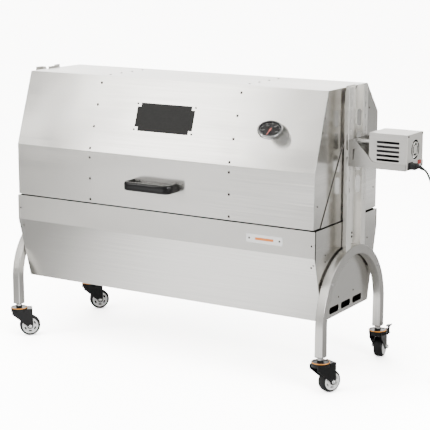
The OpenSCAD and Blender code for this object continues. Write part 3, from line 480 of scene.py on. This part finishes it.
def add_handle():
    """Bow handle with an oval bar, turned back to the hood at both ends."""
    low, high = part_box("hood_handle")
    middle = (low + high) / 2
    tall = high.z - low.z
    run = (high.x - low.x) / 2 - HANDLE_DEEP / 2
    reach = FRONT_Y - low.y - HANDLE_DEEP / 2
    oval = 0.62
    steps = 32
    line = [Vector((middle.x + x, FRONT_Y - y, middle.z)) for x, y in handle_line(run, reach)]
    rings = []
    for i, point in enumerate(line):
        heading = (line[min(i + 1, len(line) - 1)] - line[max(i - 1, 0)]).normalized()
        out = Vector((0, 0, 1)).cross(heading).normalized()
        ring = []
        for k in range(steps):
            a = 2 * math.pi * k / steps
            c, s = math.cos(a), math.sin(a)
            across = HANDLE_DEEP / 2 * math.copysign(abs(c) ** oval, c)
            upward = tall / 2 * math.copysign(abs(s) ** oval, s)
            ring.append(point + out * across + Vector((0, 0, upward)))
        rings.append(ring)
    handle = loft("handle_bow", rings)
    wear(moulded("handle_black", (0.006, 0.006, 0.006), roughness=0.14, depth=0.000004,
                 worn=(0.02, 0.02, 0.02)), handle)
    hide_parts("hood_handle")
    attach(handle, "hood")
    add_handle_screws(middle, run)


def add_handle_screws(middle, run):
    """A pan-head screw inside the hood behind each end of the handle."""
    steel = plain_metal("handle_screw_steel", (0.55, 0.55, 0.54), 0.3)
    profile = [(0.0001, 0.0025), (0.003, 0.0024), (0.0048, 0.0012), (0.005, 0.0), (0.0001, 0.0)]
    sheet_inside = FRONT_Y + 0.0013
    for side, word in ((-1, "left"), (1, "right")):
        centre = (middle.x + side * run, sheet_inside, middle.z)
        head = revolve(f"handle_screw_{word}", profile, centre, (0, 1, 0), steps=24)
        wear(steel, head)
        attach(head, "hood")


def wheel_axis(name):
    """The middle and the axle's direction of a wheel."""
    joint = JOINTS[f"roll_{name}"]
    return Vector(joint["pos_m"]), Vector(joint["axis"]).normalized()


def add_tyres():
    """Solid tyres with round shoulders, whose edges stand a little proud of the hub."""
    rubber = moulded("tyre_rubber", (0.012, 0.012, 0.0125), roughness=0.42, worn=(0.03, 0.03, 0.029),
                     shine=0.2)
    half = [
        (0.0290, 0.0150), (0.0301, 0.0156), (0.0315, 0.0160), (0.0330, 0.0156), (0.0345, 0.0146),
        (0.0357, 0.0130), (0.0366, 0.0110), (0.0372, 0.0086), (0.0376, 0.0060), (0.03785, 0.0030),
        (0.0380, 0.0008),
    ]
    profile = half + [(r, -y) for r, y in reversed(half)]
    for name in CASTERS:
        centre, axis = wheel_axis(name)
        tyre = revolve(f"tyre_{name}", profile, centre, axis, steps=72, closed=True)
        wear(rubber, tyre)
        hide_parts(f"caster_tyre_{name}")
        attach(tyre, f"wheel_{name}")


def add_wheel_shade_cores():
    """A near-black disc of painted shade in the middle of each hub, so that its slots are seen as deep and
    dark.
    """
    dark = moulded("core_painted_shade", (0.006, 0.006, 0.006), roughness=0.8, shine=0.1, worn=(0.01, 0.01, 0.01))
    inner, outer, half = 0.0120, 0.0270, 0.0070
    profile = [(inner, -half), (inner, half), (outer, half), (outer, -half)]
    for name in CASTERS:
        centre, axis = wheel_axis(name)
        core = revolve(f"wheel_core_{name}", profile, centre, axis, steps=48, closed=True)
        wear(dark, core)
        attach(core, f"wheel_{name}")


def add_axle_nuts():
    """Bright domed nuts on both ends of each caster's axle."""
    bright = plain_metal("nut_plate", (0.72, 0.72, 0.72), 0.18)
    profile = [
        (0.0078, 0.0), (0.0080, 0.0008), (0.0080, 0.0030), (0.0072, 0.0042), (0.0069, 0.0056),
        (0.0060, 0.0072), (0.0044, 0.0084), (0.0022, 0.0090), (0.0002, 0.0092),
    ]
    fork_side = 0.0215
    for name in CASTERS:
        centre, axis = wheel_axis(name)
        for side, word in ((-1, "a"), (1, "b")):
            seat = centre + axis * side * fork_side
            nut = revolve(f"axle_nut_{name}_{word}", profile, seat, axis * side, steps=32)
            wear(bright, nut)
            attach(nut, f"caster_{name}")


def add_plate_bar():
    """A plain orange bar on the plate, in place of any lettering."""
    low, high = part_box("blank_plate")
    middle = (low + high) / 2
    half_long, half_tall, corner = 0.034, 0.0042, 0.0015
    sunk, proud = 0.0004, -0.0002
    outline = []
    for x, z, start in ((1, 1, 0), (-1, 1, 90), (-1, -1, 180), (1, -1, 270)):
        for k in range(5):
            a = math.radians(start + 22.5 * k)
            outline.append((x * (half_long - corner) + corner * math.cos(a),
                            z * (half_tall - corner) + corner * math.sin(a)))
    rings = []
    for y in (sunk, proud):
        rings.append([Vector((middle.x + x, low.y + y, middle.z + z)) for x, z in outline])
    bar = loft("plate_bar", rings, smooth=False)
    wear(painted("bar_orange", (0.80, 0.22, 0.03), 0.4, edge=(0.7, 0.3, 0.1)), bar)
    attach(bar, "stand")


# The thermometer's case, its scale and the pointer's place at rest, in metres and degrees.
DIAL_RADIUS = 0.041
DIAL_SWEEP = 270
DIAL_FACE = -0.0028
NEEDLE_REST = 192
# The hood's slope leans back so far for each 252 mm that it rises.
SLOPE_RISE = 252
SLOPE_BACK = 86


def dial_frame():
    """Centre, right, up and outward directions of the thermometer's face, upright on the hood's slope."""
    joint = JOINTS["thermometer_needle"]
    out = -Vector(joint["axis"]).normalized()
    tilt = math.atan2(SLOPE_BACK, SLOPE_RISE)
    slope = Vector((0, -math.cos(tilt), math.sin(tilt)))
    right = out.cross(slope).normalized()
    return Vector(joint["pos_m"]), right, out.cross(right), out


def dial_place():
    """A frame on the dial's face: x to the right, y up, z outward."""
    centre, right, up, out = dial_frame()
    place = Matrix.Identity(4)
    for i, column in enumerate((right, up, out)):
        for k in range(3):
            place[k][i] = column[k]
    place.translation = centre + out * DIAL_FACE
    return place


def add_scale(white):
    """Short and long marks round the dial, each a thin block."""
    place = dial_place()
    marks, marks_per_long = 40, 5
    outer, inner_long, inner_short = 0.0335, 0.0280, 0.0308
    half_long, half_short = 0.0008, 0.00035
    above, below = 0.0002, 0.0003
    bm = bmesh.new()
    for i in range(marks + 1):
        a = math.radians(NEEDLE_REST - DIAL_SWEEP * i / marks)
        long = i % marks_per_long == 0
        inner = inner_long if long else inner_short
        direction = Vector((-math.sin(a), math.cos(a), 0))
        across = Vector((direction.y, -direction.x, 0)) * (half_long if long else half_short)
        corners = [direction * outer + across, direction * outer - across,
                   direction * inner - across, direction * inner + across]
        top = [bm.verts.new(place @ (c + Vector((0, 0, above)))) for c in corners]
        low = [bm.verts.new(place @ (c - Vector((0, 0, below)))) for c in corners]
        bm.faces.new(top)
        bm.faces.new(low)
        for k in range(4):
            bm.faces.new((top[k], top[(k + 1) % 4], low[(k + 1) % 4], low[k]))
    scale = link_mesh("dial_marks", bm, smooth=False)
    wear(white, scale)
    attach(scale, "hood")


def add_numerals(white):
    """Hundreds, upright inside the scale."""
    place = dial_place()
    count, ring = 5, 0.0222
    upright = Matrix.Rotation(math.radians(NEEDLE_REST - DIAL_SWEEP / 2), 4, "Z")
    for i in range(count):
        a = math.radians(NEEDLE_REST - DIAL_SWEEP * i / (count - 1))
        spot = Matrix.Translation(Vector((-math.sin(a), math.cos(a), 0)) * ring)
        numeral = dial_numeral(f"dial_numeral_{i}", str(100 * (i + 1)), place @ spot @ upright)
        wear(white, numeral)
        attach(numeral, "hood")


def add_bezel():
    """A chrome ring with a rolled lip round the dial."""
    centre, right, up, out = dial_frame()
    rim = DIAL_RADIUS
    bezel = revolve("thermometer_bezel", [
        (rim - 0.0051, -0.0040), (rim - 0.0051, 0.0016), (rim - 0.0044, 0.0032), (rim - 0.0030, 0.0040),
        (rim - 0.0014, 0.0036), (rim - 0.0004, 0.0022), (rim, 0.0000), (rim, -0.0034),
        (rim - 0.0008, -0.0044), (rim - 0.0024, -0.0050),
    ], centre, out, steps=96, closed=True)
    wear(plain_metal("bezel_chrome", (0.88, 0.88, 0.87), 0.08, grain=0.004, depth=0.000004), bezel)
    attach(bezel, "hood")


def add_dial():
    """The thermometer's scale, numerals and bezel."""
    white = moulded("dial_print", (0.42, 0.42, 0.41), roughness=0.5, worn=(0.3, 0.3, 0.29))
    add_scale(white)
    add_numerals(white)
    add_bezel()


def dial_numeral(name, text, place):
    """A number as a thin solid on the dial."""
    curve = bpy.data.curves.new(name, "FONT")
    curve.body = text
    curve.size = 0.0068
    curve.align_x = "CENTER"
    curve.align_y = "CENTER"
    curve.extrude = 0.0002
    letters = bpy.data.objects.new(name, curve)
    bpy.context.scene.collection.objects.link(letters)
    bpy.context.view_layer.update()
    mesh = bpy.data.meshes.new_from_object(letters.evaluated_get(bpy.context.evaluated_depsgraph_get()))
    bpy.data.objects.remove(letters)
    mesh.transform(place)
    numeral = bpy.data.objects.new(name, mesh)
    bpy.context.scene.collection.objects.link(numeral)
    return numeral


def add_boot_ribs():
    """Ribs round the tapered boot of the lead's connector."""
    low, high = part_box("cord_connector")
    sheet, bend_out, bend_z, fall = 0.0015, 0.034, 0.736, math.radians(117)
    bend_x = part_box("motor_end_plate")[1].x - sheet + bend_out
    start = Vector((bend_x, (low.y + high.y) / 2, bend_z))
    heading = Vector((math.sin(fall), 0, math.cos(fall)))
    count, first, pitch = 4, 0.003, 0.0026
    thickest, taper = 0.0054, 0.00013
    black = moulded("boot_black", (0.02, 0.02, 0.02), roughness=0.4)
    for i in range(count):
        at = start + heading * (first + pitch * i)
        radius = thickest - taper * i
        rib = revolve(f"boot_rib_{i}", [
            (radius - 0.0008, -0.0007), (radius + 0.0004, -0.0006), (radius + 0.0006, 0.0),
            (radius + 0.0004, 0.0006), (radius - 0.0008, 0.0007),
        ], at, heading, steps=24, closed=True)
        wear(black, rib)
        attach(rib, "stand")


# ---- Finishes for the CAD nodes ----

def caster_parts(word):
    """The names of one kind of CAD node at all four casters."""
    return [f"{word}_{name}" for name in CASTERS]


SHEET_COLOUR = (0.66, 0.648, 0.618)


def finish_sheets():
    """Brushed stainless for the folded sheets and the legs."""
    sheet = SHEET_COLOUR
    hood = brushed("hood_steel", sheet, 0, roughness=0.18, grain=0.9)
    trough = brushed("trough_steel", shade(sheet, 0.98), 0, roughness=0.2, grain=0.9)
    ends = brushed("end_steel", sheet, 1, roughness=0.2, streak=0.15, wave=0.3, grain=0.3)
    # The posts and the bearing bracket get painted shade in their corners and slots.
    post = brushed("post_steel", shade(sheet, 1.48), 2, roughness=0.45, streak=0.3, wave=0.1,
                   grain=0.2, painted_crevice_shade=0.04)
    legs = brushed("leg_steel", shade(sheet, 0.93), 2, roughness=0.30, wave=0.3)
    wear(hood, "hood_shell")
    wear(trough, "trough_shell")
    # Painted shade: the ledge and lip behind the seam are near black, as the gap's shade.
    wear_where(plain_metal("seam_lip_painted_shade", (0.035, 0.031, 0.027), 0.5), "trough_shell", is_seam_lip)
    wear(ends, "base_end_right", "base_end_left", "hood_end_right", "hood_end_left",
         "spit_shields", "hood_ribs")
    wear(post, "post_right", "post_left", "bearing_bracket")
    wear(legs, "leg_right", "leg_left")


def finish_drive():
    """Steel outside for the spit drive's case, and near-black painted shade inside it and on the end plate's
    slot walls.
    """
    sheet = SHEET_COLOUR
    cover = brushed("drive_steel", shade(sheet, 0.98), 0, roughness=0.34, streak=0.5, wave=0.2)
    bracket = brushed("bracket_steel", shade(sheet, 0.78), 0, roughness=0.36, streak=0.4, wave=0.1)
    plate = brushed("plate_steel", shade(sheet, 1.4), 1, roughness=0.5, streak=0.2, wave=0.1, grain=0.1)
    inside = painted("cover_inside_painted_shade", (0.012, 0.012, 0.012), 0.6, edge=(0.03, 0.03, 0.03), coat=0.0,
                     shine=0.2)
    wear(cover, "motor_cover")
    wear(bracket, "motor_bracket")
    wear(plate, "motor_end_plate")
    # Painted shade: the end plate's slot walls and the cover's inner faces are near black.
    wear_where(inside, "motor_end_plate", is_slot_wall)
    wear_where(inside, "motor_cover", is_inside_cover)


def finish_small_metal():
    """Fasteners, hinges, the spit and the thermometer's case."""
    bright = plain_metal("fastener_zinc", (0.60, 0.59, 0.58), 0.32)
    wear(bright, "fork_screws", "caster_stems", "hinge_lower_leaves", "hinge_upper_leaves", "hinge_pins")
    wear(plain_metal("rivet_steel", (0.07, 0.062, 0.055), 0.4), "base_fasteners", "hood_fasteners")
    wear_where(bright, "base_fasteners", is_leg_bolt)
    wear(plain_metal("spit_bright", (0.68, 0.68, 0.67), 0.22), "spit_rod", "spit_forks", "spit_coupling")
    wear(plain_metal("bush_bronze", (0.55, 0.38, 0.18), 0.35), "bearing_bush")
    wear(plain_metal("case_chrome", (0.34, 0.34, 0.335), 0.2), "thermometer_case")


def finish_paint():
    """Enamel and powder coat."""
    plate = painted("plate_white", (0.92, 0.92, 0.91), 0.35, edge=(0.8, 0.8, 0.8))
    tray = painted("tray_burnt", (0.045, 0.04, 0.036), 0.6, edge=(0.12, 0.09, 0.07))
    frame_dark = painted("frame_dark", (0.03, 0.028, 0.026), 0.5, edge=(0.06, 0.055, 0.05), coat=0.1)
    forks = painted("fork_black", (0.006, 0.006, 0.0062), 0.3, edge=(0.02, 0.02, 0.02), coat=0.03,
                    shine=0.2)
    wear(plate, "blank_plate")
    wear(tray, "charcoal_tray")
    wear(frame_dark, "window_frame")
    wear(painted("gearmotor_grey", (0.08, 0.08, 0.082), 0.45), "gearmotor")
    wear(forks, *caster_parts("caster_fork"), "brake_lever_rl", "brake_lever_rr")


def finish_plastic():
    """Moulded parts, the window and the lens."""
    pointer = moulded("pointer_red", (0.75, 0.22, 0.18), 0.45, worn=(0.8, 0.4, 0.35))
    rocker = moulded("rocker_red", (0.30, 0.05, 0.04), 0.3, worn=(0.3, 0.1, 0.09))
    rings = moulded("ring_orange", (0.90, 0.36, 0.06), 0.32, worn=(0.9, 0.5, 0.2))
    hubs = moulded("hub_grey", (0.90, 0.90, 0.89), 0.3, worn=(0.8, 0.79, 0.77), shine=0.5)
    wear(moulded("cap_black", (0.014, 0.014, 0.014), 0.3), "caster_caps")
    wear(moulded("drive_black", (0.014, 0.014, 0.014), 0.4),
         "fan_rotor", "power_inlet", "cord_connector", "mains_plug")
    wear(moulded("dial_black", (0.012, 0.012, 0.012), 0.5), "thermometer_dial")
    wear(pointer, "thermometer_pointer")
    wear(rocker, "rocker_switch")
    wear(rings, "caster_rings")
    wear(hubs, *caster_parts("caster_hub"))
    wear(smoked_glass(), "window_glass")
    wear(clear_lens(), "thermometer_lens")


def finish_nodes():
    """Gives every CAD node that is seen its material."""
    finish_sheets()
    finish_drive()
    finish_small_metal()
    finish_paint()
    finish_plastic()


def is_leg_bolt(middle, normal):
    """The leg bolts' heads stand out farther than the end panels' rivets."""
    past_rivets, below_hood = 0.63, 0.5
    return abs(middle.x - BODY_X) > past_rivets and middle.z < below_hood


def is_seam_lip(middle, normal):
    """The ledge and the lip behind the seam, painted near black as the shade in the seam's gap."""
    ledge_depth = 0.0205
    return middle.z > TROUGH_HIGH.z - ledge_depth


def is_slot_wall(middle, normal):
    """The edges of the end plate's slots, but not of the plate itself."""
    low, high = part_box("motor_end_plate")
    margin = 0.002
    clear_y = low.y + margin < middle.y < high.y - margin
    clear_z = low.z + margin < middle.z < high.z - margin
    return abs(normal.x) < 0.5 and clear_y and clear_z


def is_inside_cover(middle, normal):
    """The faces of the drive's cover that aren't on its outside."""
    low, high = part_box("motor_cover")
    margin = 0.0003
    clear_x = middle.x > low.x + margin
    clear_y = low.y + margin < middle.y < high.y - margin
    clear_z = low.z + margin < middle.z < high.z - margin
    return clear_x and clear_y and clear_z


def smoked_glass():
    """Dark tempered glass with a faint film of smoke."""
    finish = Finish("window_smoked", (0.010, 0.010, 0.0095), roughness=0.06)
    finish.shader.inputs["IOR"].default_value = 1.34
    finish.shader.inputs["Specular IOR Level"].default_value = 0.12
    film = finish.noise((0.05, 0.03, 0.03), detail=5, roughness=0.6)
    finish.tint(finish.ranged(film, 0.0, 0.5, 0.4, 0.8), (0.022, 0.021, 0.02))
    finish.rough(finish.ranged(film, 0.05, 0.13))
    return finish.material


def clear_lens():
    """Clear plastic that bends light little, so that the dial behind it stays legible."""
    finish = Finish("lens_clear", (1.0, 1.0, 1.0), roughness=0.02)
    finish.shader.inputs["Transmission Weight"].default_value = 1.0
    finish.shader.inputs["IOR"].default_value = 1.15
    film = finish.noise((0.01, 0.01, 0.01), detail=3)
    finish.rough(finish.ranged(film, 0.01, 0.04))
    return finish.material


def soften_nodes():
    """Rounds the edges of the CAD nodes: folded sheet slightly, tube and mouldings more."""
    soften(0.00045, "hood_shell", "trough_shell", angle=12)
    soften(0.0004, "base_end_right", "base_end_left", "hood_end_right", "hood_end_left", "spit_shields",
           "hood_ribs", "blank_plate", "motor_cover", "motor_end_plate", "motor_bracket",
           "bearing_bracket")
    soften(0.0005, "post_right", "post_left")
    soften(0.0028, "leg_right", "leg_left", angle=60, segments=4)
    soften(0.0009, *caster_parts("caster_fork"))
    soften(0.0007, *caster_parts("caster_hub"), "brake_lever_rl", "brake_lever_rr", "rocker_switch",
           "caster_rings", "caster_caps")
    soften(0.0008, "cord_connector", "mains_plug", "power_inlet", "spit_forks", "spit_coupling", "fork_screws")
    soften(0.0003, "thermometer_case", "thermometer_pointer", "spit_rod", "charcoal_tray", "gearmotor")


# ---- Stage ----

def stage_material(name, reflected, seen, pools):
    """A pale surface, brighter to the eye than in reflections, with pools of light for those alone."""
    material = bpy.data.materials.new(name)
    material.use_nodes = True
    tree = material.node_tree
    tree.nodes.clear()
    out = tree.nodes.new("ShaderNodeOutputMaterial")
    diffuse = tree.nodes.new("ShaderNodeBsdfDiffuse")
    path = tree.nodes.new("ShaderNodeLightPath")
    mix = tree.nodes.new("ShaderNodeMix")
    mix.data_type = "RGBA"
    mix.inputs[6].default_value = (reflected, reflected, reflected, 1)
    mix.inputs[7].default_value = (seen, seen, seen, 1)
    tree.links.new(path.outputs["Is Camera Ray"], mix.inputs[0])
    tree.links.new(mix.outputs[2], diffuse.inputs["Color"])
    coords = tree.nodes.new("ShaderNodeTexCoord")
    total = diffuse.outputs["BSDF"]
    for glow, centre, reach in pools:
        away = tree.nodes.new("ShaderNodeVectorMath")
        away.operation = "DISTANCE"
        away.inputs[1].default_value = (*centre, 0)
        tree.links.new(coords.outputs["Object"], away.inputs[0])
        pool = mapped(tree, away.outputs["Value"], 0.2 * reach, reach, glow, 0, smooth=True)
        emit = tree.nodes.new("ShaderNodeEmission")
        tree.links.new(pool, emit.inputs["Strength"])
        both = tree.nodes.new("ShaderNodeAddShader")
        tree.links.new(total, both.inputs[0])
        tree.links.new(emit.outputs["Emission"], both.inputs[1])
        total = both.outputs["Shader"]
    choose = tree.nodes.new("ShaderNodeMixShader")
    tree.links.new(path.outputs["Is Camera Ray"], choose.inputs[0])
    tree.links.new(total, choose.inputs[1])
    tree.links.new(diffuse.outputs["BSDF"], choose.inputs[2])
    tree.links.new(choose.outputs["Shader"], out.inputs["Surface"])
    return material


def add_floor():
    """A wide pale floor just under the wheels; each pool is (glow, centre, reach)."""
    half = 60
    below = 0.0002
    bm = bmesh.new()
    corners = [(-half, -half), (half, -half), (half, half), (-half, half)]
    bm.faces.new([bm.verts.new((x, y, -below)) for x, y in corners])
    floor = link_mesh("floor", bm, smooth=False)
    pools = [(3.2, (-1.4, -3.2), 1.7), (2.4, (-0.1, -0.7), 1.0), (1.2, (2.0, 3.3), 1.1)]
    wear(stage_material("floor_pale", 0.4, 8.0, pools), floor)


class Studio:
    """A world whose brightness is a base from low to high, plus soft lobes and strips like softboxes."""

    def __init__(self, low, high, seen):
        world = bpy.data.worlds.new("studio")
        bpy.context.scene.world = world
        world.use_nodes = True
        self.tree = world.node_tree
        coords = self.tree.nodes.new("ShaderNodeTexCoord")
        self.direction = coords.outputs["Generated"]
        split = self.tree.nodes.new("ShaderNodeSeparateXYZ")
        self.tree.links.new(self.direction, split.inputs["Vector"])
        self.total = self.ramp(split.outputs["Z"], -0.1, 0.8, low, high)
        self.seen = seen

    def ramp(self, value, start, end, low, high):
        """A value from start to end, mapped smoothly to low to high."""
        return mapped(self.tree, value, start, end, low, high, smooth=True)

    def within(self, value, near, far, strength):
        """The strength at near degrees off the middle, falling to nothing at far degrees."""
        return self.ramp(value, math.cos(math.radians(far)), math.cos(math.radians(near)), 0, strength)

    def lobe(self, azimuth, height, near, far, strength):
        """Adds a soft lobe; azimuth is from +X towards +Y, all angles are in degrees."""
        a, h = math.radians(azimuth), math.radians(height)
        dot = self.tree.nodes.new("ShaderNodeVectorMath")
        dot.operation = "DOT_PRODUCT"
        dot.inputs[1].default_value = (math.cos(a) * math.cos(h), math.sin(a) * math.cos(h), math.sin(h))
        self.tree.links.new(self.direction, dot.inputs[0])
        self.add(self.within(dot.outputs["Value"], near, far, strength))

    def strip(self, azimuth, near, far, bottom, top, strength):
        """Adds an upright strip of light between two heights, as sines, with soft sides."""
        a = math.radians(azimuth)
        level = self.tree.nodes.new("ShaderNodeVectorMath")
        level.operation = "MULTIPLY"
        level.inputs[1].default_value = (1, 1, 0)
        self.tree.links.new(self.direction, level.inputs[0])
        unit = self.tree.nodes.new("ShaderNodeVectorMath")
        unit.operation = "NORMALIZE"
        self.tree.links.new(level.outputs["Vector"], unit.inputs[0])
        dot = self.tree.nodes.new("ShaderNodeVectorMath")
        dot.operation = "DOT_PRODUCT"
        dot.inputs[1].default_value = (math.cos(a), math.sin(a), 0)
        self.tree.links.new(unit.outputs["Vector"], dot.inputs[0])
        across = self.within(dot.outputs["Value"], near, far, 1)
        split = self.tree.nodes.new("ShaderNodeSeparateXYZ")
        self.tree.links.new(self.direction, split.inputs["Vector"])
        soft_bottom, soft_top = 0.12, 0.2
        rise = self.ramp(split.outputs["Z"], bottom, bottom + soft_bottom, 0, strength)
        fade = self.ramp(split.outputs["Z"], top - soft_top, top, 1, 0)
        upright = combined(self.tree, "MULTIPLY", across, rise)
        self.add(combined(self.tree, "MULTIPLY", upright, fade))

    def add(self, glow):
        """Adds a brightness to the total."""
        self.total = combined(self.tree, "ADD", self.total, glow)

    def finish(self):
        """Links the total to the background, which the camera sees as evenly bright."""
        path = self.tree.nodes.new("ShaderNodeLightPath")
        mix = self.tree.nodes.new("ShaderNodeMix")
        mix.inputs[3].default_value = self.seen
        self.tree.links.new(path.outputs["Is Camera Ray"], mix.inputs[0])
        self.tree.links.new(self.total, mix.inputs[2])
        background = self.tree.nodes["Background"]
        self.tree.links.new(mix.outputs[0], background.inputs["Strength"])
        background.inputs["Color"].default_value = (1, 0.988, 0.965, 1)


def add_world():
    """A dim room with a tall narrow softbox at the front, and broad glows from behind and above."""
    studio = Studio(low=0.6, high=0.5, seen=10)
    studio.strip(azimuth=233.4, near=1.8, far=4.6, bottom=-0.05, top=0.8, strength=8.0)
    studio.lobe(azimuth=130, height=14, near=8, far=40, strength=4.6)
    studio.lobe(azimuth=250, height=60, near=10, far=50, strength=1.5)
    studio.finish()


def add_light(name, place, target, size, power):
    """A soft rectangular light that faces target."""
    data = bpy.data.lights.new(name, "AREA")
    data.shape = "RECTANGLE"
    data.size, data.size_y = size
    data.energy = power
    light = bpy.data.objects.new(name, data)
    bpy.context.scene.collection.objects.link(light)
    light.location = place
    light.rotation_mode = "QUATERNION"
    light.rotation_quaternion = (Vector(target) - Vector(place)).to_track_quat("-Z", "Y")


def add_lights():
    """One softbox overhead and one low on the right, towards the drive's end."""
    add_light("softbox_top", (0.3, -0.6, 4.2), (0, 0, 0.5), (3.0, 2.4), 60)
    add_light("softbox_right", (4.2, -1.6, 1.3), (0.5, 0, 0.4), (1.8, 1.8), 130)


# ---- Making ----

add_camera()
add_cord()
add_handle()
add_tyres()
add_wheel_shade_cores()
add_axle_nuts()
add_plate_bar()
add_dial()
add_boot_ribs()
finish_nodes()
soften_nodes()
add_floor()
add_world()
add_lights()
